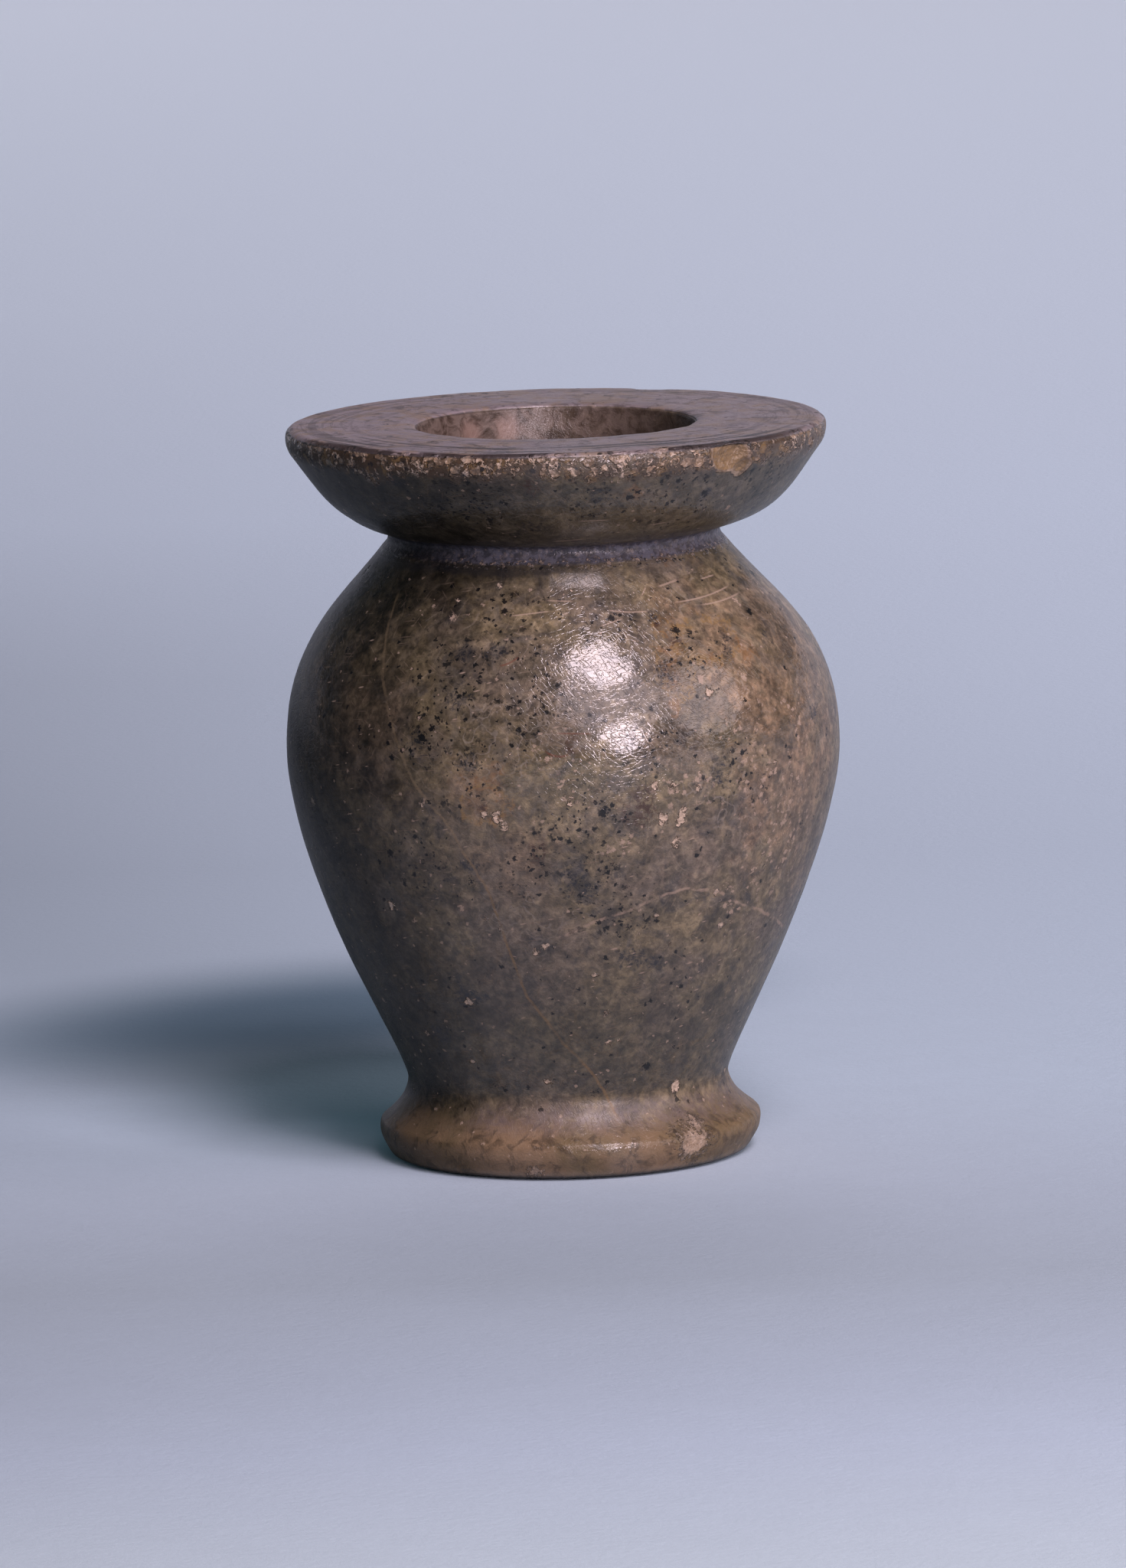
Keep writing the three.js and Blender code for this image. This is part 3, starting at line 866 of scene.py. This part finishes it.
def paint_stains(s):
    """Orange, rust and dark stains, then the veins and the pale threads. Returns the pale lines."""
    wobble = s.clouds(0.9, 4.0, 0.65, 0.5, shift=(8, 1, 21))
    net = s.threads(1.3, 0.09, (6, 16, 26), 0.5)
    s.paint(ORANGE, s.stains(ORANGE_STAINS, wobble, 1.5), s.most(net, s.times(s.patchy, 0.5)), 0.56)
    wander = s.math("MULTIPLY_ADD", wobble, 1.7, -0.35)
    loops = s.most(*[s.loop(*place, 0.2, wander) for place in OCHRE_LOOPS])
    s.paint(OCHRE, loops, s.spread(s.patchy, 0.2, 0.8), 0.66)
    deep_rust = s.spread(s.clouds(0.5, 5.0, 0.7, 0.8, shift=(12, 5, 1)), 0.44, 0.56)
    s.paint(RUST, s.stains(RUST_STAINS, s.edge, 1.3), deep_rust, 0.9)
    grains = s.spread(s.clouds(0.26, 4.0, 0.7, shift=(4, 14, 2)), 0.47, 0.56)
    dark = s.stains(DARK_STAINS, s.clouds(0.8, 5.0, 0.7, 0.8, shift=(19, 4, 33)), 2.2)
    s.paint(SLATE, dark, 0.35)
    s.paint(BLUE_INK, dark, grains, 0.8)
    broken = s.spread(s.clouds(1.1, 4.0, 0.62, shift=(9, 9, 2)), 0.38, 0.56)
    long_vein = s.times(s.vein("orange_vein", 0.14, 0.26), s.spread(broken, 0.0, 1.0, 0.4, 1.0))
    vein_colour = s.mix(s.spread(s.height, 18.0, 26.0), VEIN_OCHRE, VEIN_TAN)
    s.paint(vein_colour, long_vein, s.spread(s.height, 22.0, 30.0, 1.0, 0.45), 0.6)
    pale_vein = s.times(s.vein("pale_vein", 0.15, 0.3), broken)
    s.paint(FLECK, pale_vein, 0.55)
    threads = s.most(
        s.times(s.threads(3.4, 0.011, (4, 4, 4)), s.spread(wobble, 0.5, 0.62)),
        s.times(s.threads(4.6, 0.009, (1, 17, 5)), s.spread(s.edge, 0.46, 0.58)),
    )
    veils = s.times(s.threads(3.8, 0.06, (7, 27, 1), 0.3), s.spread(wobble, 0.36, 0.6))
    web = s.times(s.threads(1.5, 0.022, (16, 2, 12), 0.6), s.stains(WEBS, s.edge, 1.4))
    seen = s.times(s.blend(s.painted_shade_side, 1.0, 0.3), s.spread(s.height, 14.0, 20.0, 0.35, 1.0))
    s.paint(HAZE, s.most(s.times(threads, 0.3), s.times(veils, 0.16), s.times(web, 0.4)), seen)
    return s.most(pale_vein, threads)


def paint_specks(s):
    """Black specks and pale flecks. Returns both."""
    at = s.stirred(0.3, 0.13)
    fray = s.spread(s.clouds(0.15, 3.0, 0.6, shift=(6, 2, 9)), 0.34, 0.66, 0.66, 1.5)
    crowd = s.stains(SPECKLED, s.edge, 1.2)
    black = s.most(
        s.times(s.specks(0.62, 0.56, 0.5, at, soft=0.3, fray=fray), crowd),
        s.times(s.specks(0.36, 0.32, 0.62, at, (5, 5, 5), 0.3, fray), s.most(crowd, 0.2)),
        s.specks(2.6, 0.8, 0.5, at, (9, 2, 4), 0.3, fray),
        s.specks(0.85, 0.4, 0.5, at, (2, 7, 7), 0.3, fray),
    )
    black = s.times(black, s.spread(s.height, 3.0, 5.0, 0.25, 1.0))
    s.paint(INK, black, 0.94)
    mealy = s.stains(MEALY, s.edge, 1.4)
    flecks = s.most(
        s.times(s.specks(0.5, 0.5, 0.55, at, (14, 2, 6), fray=fray), mealy),
        s.times(s.specks(0.95, 0.8, 0.3, at, (4, 22, 6), fray=fray), mealy),
        s.specks(2.3, 0.6, 0.4, at, (3, 12, 6), fray=fray),
        s.times(s.specks(0.75, 0.3, 0.5, at, (6, 1, 16), fray=fray), 0.8),
    )
    s.paint(FLECK, flecks, 0.74)
    return black, flecks


def paint_scores(s):
    """Long scores, and short ones scattered over the rest. Returns the pale ones."""
    s.paint(RUSSET, s.most(*[s.stroke(*score) for score in RUSSET_SCORES]), 0.6)
    longs = s.most(*[s.stroke(*score) for score in LONG_SCORES])
    s.paint(FLECK, longs, 0.55)
    shorts = s.most(*[s.dashes(*score) for score in SHORT_SCORES])
    s.paint(FLECK, shorts, 0.14)
    ticks = s.most(
        s.times(s.dashes(9, 0.34, 0.09, 0.05, 33.0), s.between(s.height, 8.0, 19.0, 1.0)),
        s.times(s.dashes(14, 0.3, 0.07, 0.04, 36.0), s.between(s.height, 7.0, 38.0, 1.0)),
    )
    s.paint(FLECK, ticks, 0.65)
    return s.most(longs, shorts, ticks)


def paint_crust(s):
    """Crust in the pits and on the foot, and painted shade along the foot's lower edge. Returns the crust.
    """
    crust = s.fall(s.math("MULTIPLY_ADD", s.grit, -0.9, s.number("outside_pits")), -0.5, -0.36)
    s.paint(CRUST, crust, s.spread(s.grit, 0.3, 0.6, 0.5, 1.0))
    foot_crust = s.stains(FOOT_CRUST, s.grit, 2.2)
    s.paint(FLECK, foot_crust, s.spread(s.grit, 0.42, 0.58, 0.35, 0.9))
    # Painted shade: a dark line along the foot's lower edge, where it meets the floor
    s.paint(INK, s.spread(s.math("MULTIPLY_ADD", s.grit, 0.3, s.height), 0.3, 0.62, 0.9, 0.0))
    return s.most(crust, foot_crust)


def paint_neck(s):
    """The slate-grey neck band and the sugary grains along it, with painted shade on the left. Returns
    both.
    """
    neck = s.between(s.height, 40.05, 41.25, 0.12)
    # Painted shade: the band turns to ink towards the left
    colour = s.mix(s.spread(s.x, -10.0, -4.0, 0.85, 0.0), NECK_SLATE, INK)
    dark = s.spread(s.clouds(0.5, 5.0, 0.7, shift=(2, 6, 44)), 0.44, 0.56, 0.6, 0.0)
    s.paint(s.mix(dark, colour, BLUE_INK), neck, s.spread(s.grit, 0.3, 0.7, 0.95, 0.7))
    sugar = s.specks(0.3, 0.42, 0.85, s.stirred(0.4, 0.1, (1, 6, 2)), (8, 8, 3))
    lower_edge = s.between(s.math("MULTIPLY_ADD", s.grit, 0.9, s.height), 40.25, 40.75, 0.12)
    sugar = s.times(sugar, s.most(s.times(neck, 0.3), lower_edge), s.spread(s.x, -8.5, -5.0, 0.25, 1.0))
    s.paint(s.mix(s.spread(s.grit, 0.4, 0.6), FLECK, SLATE), sugar, 0.85)
    # Partly a dark strip of the stone, partly painted shade under the rim, strongest on the left
    shade_under_neck = s.between(s.math("ADD", s.edge, s.height), 39.9, 40.5, 0.2)
    s.paint(SLATE, shade_under_neck, s.spread(s.x, -2.0, 4.0, 0.6, 0.15))
    return neck, sugar


def paint_rim_edge(s):
    """The brown edge of the rim with ochre patches, dark holes and painted glints. Returns the worn places
    and the painted glints.
    """
    band = s.times(s.spread(s.math("MULTIPLY_ADD", s.edge, -3.4, s.height), 44.3, 45.0),
                   s.spread(s.radius, 15.8, 16.4), s.below_top)
    s.paint(RIM_BROWN, band, s.spread(s.patchy, 0.0, 1.0, 0.9, 0.5))
    s.paint(AMBER, band, s.spread(s.clouds(1.1, 4.0, 0.62, 0.4, shift=(35, 1, 13)), 0.54, 0.6), 0.6)
    holes = s.specks(0.55, 0.5, 0.4, s.stirred(0.3, 0.13), (12, 3, 5), 0.3)
    s.paint(BLUE_INK, band, holes, 0.75)
    worn = s.spread(s.clouds(0.42, 5.0, 0.7, 0.8, shift=(5, 11, 3)), 0.515, 0.555)
    patches = s.spread(s.clouds(1.3, 3.0, 0.6, shift=(15, 1, 3)), 0.4, 0.54)
    # Painted glints: near-white spots where the lamp catches the rim's edge, laid over pale crust
    glinting = s.times(s.stains(GLINTING, s.grit, 1.6), s.spread(s.clouds(0.24, 3.0, 0.6), 0.48, 0.56))
    worn = s.most(s.times(worn, band, patches, s.math("SUBTRACT", 1.0, holes)), glinting)
    s.paint(s.mix(s.spread(s.grit, 0.42, 0.54), FRESH, CRUST), worn, 0.92)
    s.paint(GLINT, glinting, 0.6)
    return worn


def paint_chips(s):
    """Fresh stone where chips were lost, amber where they are deep. Returns where stone was lost."""
    lost = s.number("lost")
    broken = s.spread(s.math("MULTIPLY_ADD", s.grit, 0.03, lost), 0.025, 0.06)
    s.paint(FRESH, broken, 0.3)
    s.paint(AMBER, s.spread(lost, 0.14, 0.26), s.spread(s.grit, 0.3, 0.6, 0.95, 0.55))
    s.paint(CRUST, s.between(lost, 0.06, 0.2, 0.03), s.spread(s.mottle, 0.44, 0.52), 0.32)
    return broken


def paint_top(s, black):
    """The flat top of the rim, lightened by a painted sheen, and the marks brushed round it. Returns both.
    """
    top = s.times(s.spread(s.height, TOP_START, TOP_START + 0.15), s.spread(s.radius, 9.0, 9.2))
    tan = s.spread(s.clouds(2.0, 5.0, 0.65, 0.6, shift=(3, 33, 3)), 0.44, 0.62)
    # Partly the top's own lilac grey and tan, partly a painted sheen that lightens the flat top
    colour = s.mix(s.spread(s.mottle, 0.5, 0.64, 0.0, 0.6), s.mix(tan, RIM_LILAC_SHEEN, RIM_TAN_SHEEN), RIM_UMBER)
    s.paint(colour, top, s.spread(black, 0.0, 1.0, 0.85, 0.1))
    rings = s.clouds(1.0, 3.0, 0.6, at=s.unrolled(0, 12.0, 0.6, 4.0))
    brushed = s.times(top, s.spread(s.radius, 12.0, 15.0, 0.35, 1.0), s.spread(s.y, -12.0, -4.0, 1.0, 0.4))
    s.paint(RIM_UMBER, brushed, s.spread(rings, 0.5, 0.55), 0.95)
    s.paint(RIM_PALE, brushed, s.fall(rings, 0.38, 0.44), 0.4)
    return top, s.times(rings, brushed)


def paint_well(s):
    """The brown wall of the well, with painted shade towards its right and two painted rosy highlights.
    Returns where the well is.
    """
    inside = s.times(s.fall(s.radius, 9.1, 9.3), s.below_top)
    colour = s.mix(s.spread(s.mottle, 0.4, 0.62), WELL_BROWN, WELL_DARK_AND_SHADE)
    # Painted shade: the wall darker towards the right
    colour = s.mix(s.spread(s.x, 1.0, 8.0, 0.0, 0.6), colour, WELL_DARK_AND_SHADE)
    # Painted highlights: two soft rosy patches high on the back of the wall
    for azimuth in PAINTED_WELL_HIGHLIGHTS:
        away = s.vector("DISTANCE", s.place, tuple(on_stone(azimuth, MOUTH_RADIUS, 46.4)))
        away = s.math("MULTIPLY_ADD", s.mottle, 0.8, s.math("SUBTRACT", away, 0.4))
        colour = s.mix(s.spread(away, 0.3, 1.3, 0.46, 0.0), colour, WELL_HIGHLIGHT_ROSE)
    s.paint(colour, inside, 0.85)
    return inside


# The polish is a thin coat: its refraction, and its weight where the stone shines most
STONE_IOR = 1.54
POLISH_IOR = 3.0
POLISH_WEIGHT = 0.26


def stone_material():
    s = StoneSheet()
    stone_ground(s)
    foot = paint_foot(s)
    pale_lines = paint_stains(s)
    black, flecks = paint_specks(s)
    scores = paint_scores(s)
    crust = paint_crust(s)
    neck, sugar = paint_neck(s)
    worn = paint_rim_edge(s)
    broken = paint_chips(s)
    top, rings = paint_top(s, black)
    inside = paint_well(s)

    rugged = s.most(broken, crust, worn, s.times(sugar, 0.9))
    dull_lines = s.times(s.most(scores, pale_lines, flecks), 0.5)
    matt = s.most(rugged, s.times(neck, 0.7), dull_lines, s.times(black, 0.4))
    slope = s.between(s.height, 2.9, 5.4, 0.4)
    bright_spot = s.between(s.x, 2.3, 4.3, 0.5)
    ring = s.times(s.between(s.height, 0.6, 2.9, 0.2), s.math("SUBTRACT", 1.0, bright_spot))
    polish = s.math("SUBTRACT", 1.0, matt)
    for place, share in ((s.painted_shade_side, 0.36), (inside, 0.6), (slope, 0.55), (ring, 0.4)):
        polish = s.times(polish, s.blend(place, 1.0, share))
    gloss = s.blend(s.spread(s.clouds(2.4, 5.0, 0.6, shift=(9, 3, 3)), 0.35, 0.7), 0.055, 0.1)
    under_neck = s.between(s.height, 38.6, 40.0, 0.8)
    gloss = s.blend(s.most(slope, top, s.times(inside, 0.7), under_neck), gloss, 0.34)

    fine_lines = [s.hairs(*hair) for hair in POLISH_HAIRS] + [s.dashes(*score) for score in POLISH_SCORES]
    normal = s.relief(s.clouds(2.2, 3.0, 0.5, shift=(7, 22, 4)), 0.017)
    normal = s.relief(s.clouds(0.4, 3.0, 0.6, shift=(2, 2, 30)), 0.002, normal)
    normal = s.relief(s.math("SUBTRACT", 1.0, s.most(*fine_lines)), 0.006, normal)
    facets, _ = s.cells(0.3, s.stirred(0.5, 0.12, (7, 3, 1)))
    normal = s.relief(s.times(facets, rugged), 0.07, normal)
    normal = s.relief(s.times(s.grit, s.most(rugged, s.times(neck, 0.5))), 0.05, normal)
    normal = s.relief(rings, 0.04, normal)
    normal = s.relief(s.times(s.mottle, s.most(top, s.times(foot, 0.7), inside)), 0.12, normal)

    shader = s.shader.inputs
    s.feed(shader["Base Color"], s.colour)
    s.feed(shader["Roughness"], s.blend(rugged, 0.46, 0.22))
    s.feed(shader["Normal"], normal)
    s.feed(shader["Specular IOR Level"], s.blend(rugged, s.blend(s.painted_shade_side, 0.1, 0.05), 0.6))
    shader["IOR"].default_value = STONE_IOR
    s.feed(shader["Coat Weight"], s.times(polish, POLISH_WEIGHT))
    shader["Coat IOR"].default_value = POLISH_IOR
    s.feed(shader["Coat Roughness"], gloss)
    s.feed(shader["Coat Normal"], normal)
    return s.material


# Colours of the dried kohl, with painted shade in its cracks
KOHL_BLACK = linear(24, 23, 26)
KOHL_DUST = linear(58, 54, 54)
KOHL_GLINT = linear(120, 122, 130)
KOHL_CRACK_SHADE = linear(8, 8, 9)


def kohl_material():
    s = Sheet("dried_kohl")
    dust = s.spread(s.clouds(1.1, 6.0, 0.65, 0.3), 0.48, 0.72)
    s.colour = s.mix(dust, KOHL_BLACK, KOHL_DUST)
    glint = s.specks(0.35, 0.2, 0.25)
    s.paint(KOHL_GLINT, glint, 0.6)
    # Painted shade: near-black in the cracks
    s.paint(KOHL_CRACK_SHADE, s.number("crack"), 0.8)
    s.feed(s.shader.inputs["Base Color"], s.colour)
    s.feed(s.shader.inputs["Roughness"], s.blend(glint, s.blend(dust, 0.78, 0.92), 0.35))
    s.feed(s.shader.inputs["Normal"], s.relief(s.clouds(0.3, 6.0, 0.7), 0.09))
    return s.material


# The studio: a paper floor that curves up into a backdrop behind the vessel, in metres
FLOOR_NEAR = -1.6
FLOOR_BEND = 1.3
BACKDROP_TOP = 0.5
BEND_RADIUS = 0.4
BEND_STEPS = 24
STAGE_HALF_WIDTH = 2.4

# Distances behind the vessel in millimetres, the paper's colour there with its painted light, and how much
# painted shade darkens its left
PAPER = (
    (-150, linear(228, 248, 255), 0.3),
    (-95, linear(213, 232, 249), 0.52),
    (-76, linear(203, 221, 237), 0.5),
    (-45, linear(190, 207, 220), 0.38),
    (-20, linear(195, 213, 228), 0.27),
    (20, linear(204, 225, 241), 0.29),
    (120, linear(202, 222, 238), 0.62),
    (220, linear(211, 231, 247), 0.6),
    (320, linear(217, 237, 253), 0.32),
    (500, linear(223, 241, 255), 0.18),
    (850, linear(230, 244, 255), 0.0),
)
# The paper is darker where the shadow falls: the patch's middle, its half width and half depth, how
# far back it lies for each millimetre further right, and its colour
SHADOW_MIDDLE = (-18.0, 54.0)
SHADOW_HALF = (34.0, 26.0)
SHADOW_TILT = 0.33
SHADOW_COLOUR = (0.28, 0.35, 0.39, 1.0)
PAPER_BOUNCE = linear(104, 114, 122)
PAPER_NEAR = -180
PAPER_SPAN = 1080
# Painted shade: the paper darkens towards the left, and more far to the left of the vessel
FALLOFF_LEFT = -150
FALLOFF_RIGHT = 60
FAR_LEFT = (-140, -52)
FAR_LEFT_SHARE = 0.45
FAR_LEFT_FADE = (220, 420)
# Painted light: the paper glows a little, bluish, for the camera and in reflections, far behind the vessel
# and in the shadow beside its foot
GLOW = (0.5, 0.8, 1.0, 1.0)
FAR_GLOW = 0.07
FAR_GLOW_REACH = (250, 900)
NEAR_GLOW = 0.03
NEAR_GLOW_REACH = (14, 46)
NEAR_GLOW_SIDE = (-14, 2)
NEAR_GLOW_START = (-14, 4)
# Fibres of the paper, sharp near the vessel: size, strength and the distances over which they blur
FIBRE_SIZE = 4.0
FIBRE_STRENGTH = 0.16
FIBRE_BLUR = (10.0, 110.0)
# Painted shade in front of the vessel and painted light at the near edge of its shadow, as patches of the
# paper: x, y, where each starts to fade and where it ends, its level
SHADES = ((0.0, -30.0, 5, 30, 0.9), (-27.0, 16.0, 3, 16, 1.15), (-15.0, 8.0, 2, 9, 1.2))


def paper_material():
    """Pale blue-grey paper with painted light and shade: lighter in front of the vessel and far behind it,
    darker at the left and where the shadow falls, and glowing a little for the camera.
    """
    s = Sheet("studio_paper")
    run = s.math("MULTIPLY_ADD", s.y, 1 / PAPER_SPAN, -PAPER_NEAR / PAPER_SPAN)
    places = [(distance - PAPER_NEAR) / PAPER_SPAN for distance, _, _ in PAPER]
    paper = s.ramp(run, list(zip(places, [colour for _, colour, _ in PAPER])))
    darker = s.ramp(run, list(zip(places, [(share, share, share, 1.0) for _, _, share in PAPER])))
    darker = s.node("SeparateColor", {0: darker}).outputs[0]
    darker = s.times(darker, s.fall(s.x, FALLOFF_LEFT, FALLOFF_RIGHT))
    far_left = s.times(s.spread(s.x, *FAR_LEFT, FAR_LEFT_SHARE, 0.0), s.fall(s.y, *FAR_LEFT_FADE))
    lit = s.times(s.math("SUBTRACT", 1.0, darker), s.math("SUBTRACT", 1.0, far_left))
    for x, y, inner, outer, level in SHADES:
        lit = s.times(lit, s.spread(s.vector("DISTANCE", s.place, (x, y, 0.0)), inner, outer, level, 1.0))
    sideways = s.math("SUBTRACT", s.x, SHADOW_MIDDLE[0])
    across = s.math("DIVIDE", sideways, SHADOW_HALF[0])
    along = s.math("SUBTRACT", s.math("SUBTRACT", s.y, SHADOW_MIDDLE[1]), s.times(sideways, SHADOW_TILT))
    along = s.math("DIVIDE", along, SHADOW_HALF[1])
    oval = s.math("SQRT", s.math("ADD", s.times(across, across), s.times(along, along)))
    fibres = s.math("SUBTRACT", s.clouds(FIBRE_SIZE, 7.0, 0.95, shift=(3, 3, 3)), 0.5)
    fibres = s.times(fibres, s.fall(s.y, *FIBRE_BLUR))
    lit = s.times(lit, s.math("MULTIPLY_ADD", fibres, FIBRE_STRENGTH, 1.0))
    paper = s.vector("SCALE", paper, scale=lit)
    white = (1.0, 1.0, 1.0, 1.0)
    paper = s.vector("MULTIPLY", paper, s.mix(s.spread(oval, 0.2, 1.15), SHADOW_COLOUR, white))
    path = s.node("LightPath", {}).outputs
    seen = s.most(path["Is Camera Ray"], path["Is Glossy Ray"], path["Is Transmission Ray"])
    s.feed(s.shader.inputs["Base Color"], s.mix(seen, PAPER_BOUNCE, paper))
    s.shader.inputs["Emission Color"].default_value = GLOW
    away = s.vector("LENGTH", s.vector("MULTIPLY", s.place, (1, 1, 0)))
    near = s.times(s.spread(away, *NEAR_GLOW_REACH, NEAR_GLOW, 0.0), s.fall(s.x, *NEAR_GLOW_SIDE),
                   s.spread(s.y, *NEAR_GLOW_START))
    glow = s.most(s.spread(s.y, *FAR_GLOW_REACH, 0.0, FAR_GLOW), near)
    s.feed(s.shader.inputs["Emission Strength"], s.times(seen, glow))
    s.shader.inputs["Roughness"].default_value = 0.9
    s.shader.inputs["Specular IOR Level"].default_value = 0.1
    s.feed(s.shader.inputs["Normal"], s.relief(s.clouds(0.7, 5.0, 0.7), 0.05))
    return s.material


def make_stage():
    bend = [(FLOOR_BEND + BEND_RADIUS * math.sin(a), BEND_RADIUS * (1 - math.cos(a)))
            for a in np.linspace(0, math.pi / 2, BEND_STEPS)]
    line = [(FLOOR_NEAR, 0.0)] + bend + [(FLOOR_BEND + BEND_RADIUS, BACKDROP_TOP)]
    vertices = [(side * STAGE_HALF_WIDTH, y, z) for y, z in line for side in (-1, 1)]
    faces = [(2 * i, 2 * i + 1, 2 * i + 3, 2 * i + 2) for i in range(len(line) - 1)]
    mesh = bpy.data.meshes.new("paper_sweep")
    mesh.from_pydata(vertices, [], faces)
    mesh.polygons.foreach_set("use_smooth", np.ones(len(faces), dtype=bool))
    mesh.materials.append(paper_material())
    floor = bpy.data.objects.new("paper_sweep", mesh)
    bpy.context.scene.collection.objects.link(floor)


# Lamps: azimuth, elevation, width and height in metres, watts, colour
LAMP_DISTANCE = 7.0
LAMPS = (
    ("upper_lamp", 25.0, 53.9, 2.6, 3.1, 256.0, (1.0, 0.82, 0.9)),
    ("soft_lamp", 23.0, 32.0, 5.2, 5.2, 138.0, (1.0, 0.82, 0.9)),
    ("lower_lamp", 25.5, 11.2, 2.4, 1.8, 164.0, (1.0, 0.82, 0.9)),
    ("side_fill", 68, 24, 4.6, 4.6, 118.0, (1.0, 0.85, 0.9)),
)
LAMP_TARGET = Vector((0.0, 0.0, 0.026))
AMBIENT = (0.42, 0.84, 1.0, 1.0)
AMBIENT_STRENGTH = 0.06


def make_lamps():
    for name, azimuth, elevation, width, tall, watts, colour in LAMPS:
        lamp = bpy.data.lights.new(name, "AREA")
        lamp.shape = "ELLIPSE"
        lamp.size = width
        lamp.size_y = tall
        lamp.energy = watts
        lamp.color = colour
        holder = bpy.data.objects.new(name, lamp)
        up = math.radians(elevation)
        flat = on_stone(azimuth, LAMP_DISTANCE * math.cos(up), LAMP_DISTANCE * math.sin(up))
        holder.location = LAMP_TARGET + Vector(flat)
        holder.rotation_euler = (LAMP_TARGET - holder.location).to_track_quat("-Z", "Y").to_euler()
        bpy.context.scene.collection.objects.link(holder)
    world = bpy.data.worlds.new("dim_room")
    world.use_nodes = True
    background = world.node_tree.nodes["Background"]
    background.inputs["Color"].default_value = AMBIENT
    background.inputs["Strength"].default_value = AMBIENT_STRENGTH
    bpy.context.scene.world = world


# The camera, from a fit to the rim, mouth, belly and foot circles of the photograph
CAMERA_DISTANCE = 0.8
CAMERA_PITCH = math.radians(8.7)
CAMERA_ROLL = 0.0245
CAMERA_AIM = Vector((-0.00009, 0.0, 0.02412))
CAMERA_LENS = 281.9


def make_camera():
    camera = bpy.data.cameras.new("photo_camera")
    camera.sensor_width = 36.0
    camera.lens = CAMERA_LENS
    camera.clip_start = 0.05
    camera.clip_end = 20.0
    holder = bpy.data.objects.new("photo_camera", camera)
    back = Vector((0.0, -math.cos(CAMERA_PITCH), math.sin(CAMERA_PITCH)))
    tilt = Matrix.Rotation(math.pi / 2 - CAMERA_PITCH, 4, "X") @ Matrix.Rotation(-CAMERA_ROLL, 4, "Z")
    holder.matrix_world = Matrix.Translation(CAMERA_AIM + CAMERA_DISTANCE * back) @ tilt
    bpy.context.scene.collection.objects.link(holder)
    bpy.context.scene.camera = holder


make_camera()
make_stage()
make_lamps()
make_stone(stone_material())
make_kohl(kohl_material())
bpy.context.scene.view_settings.view_transform = "Standard"
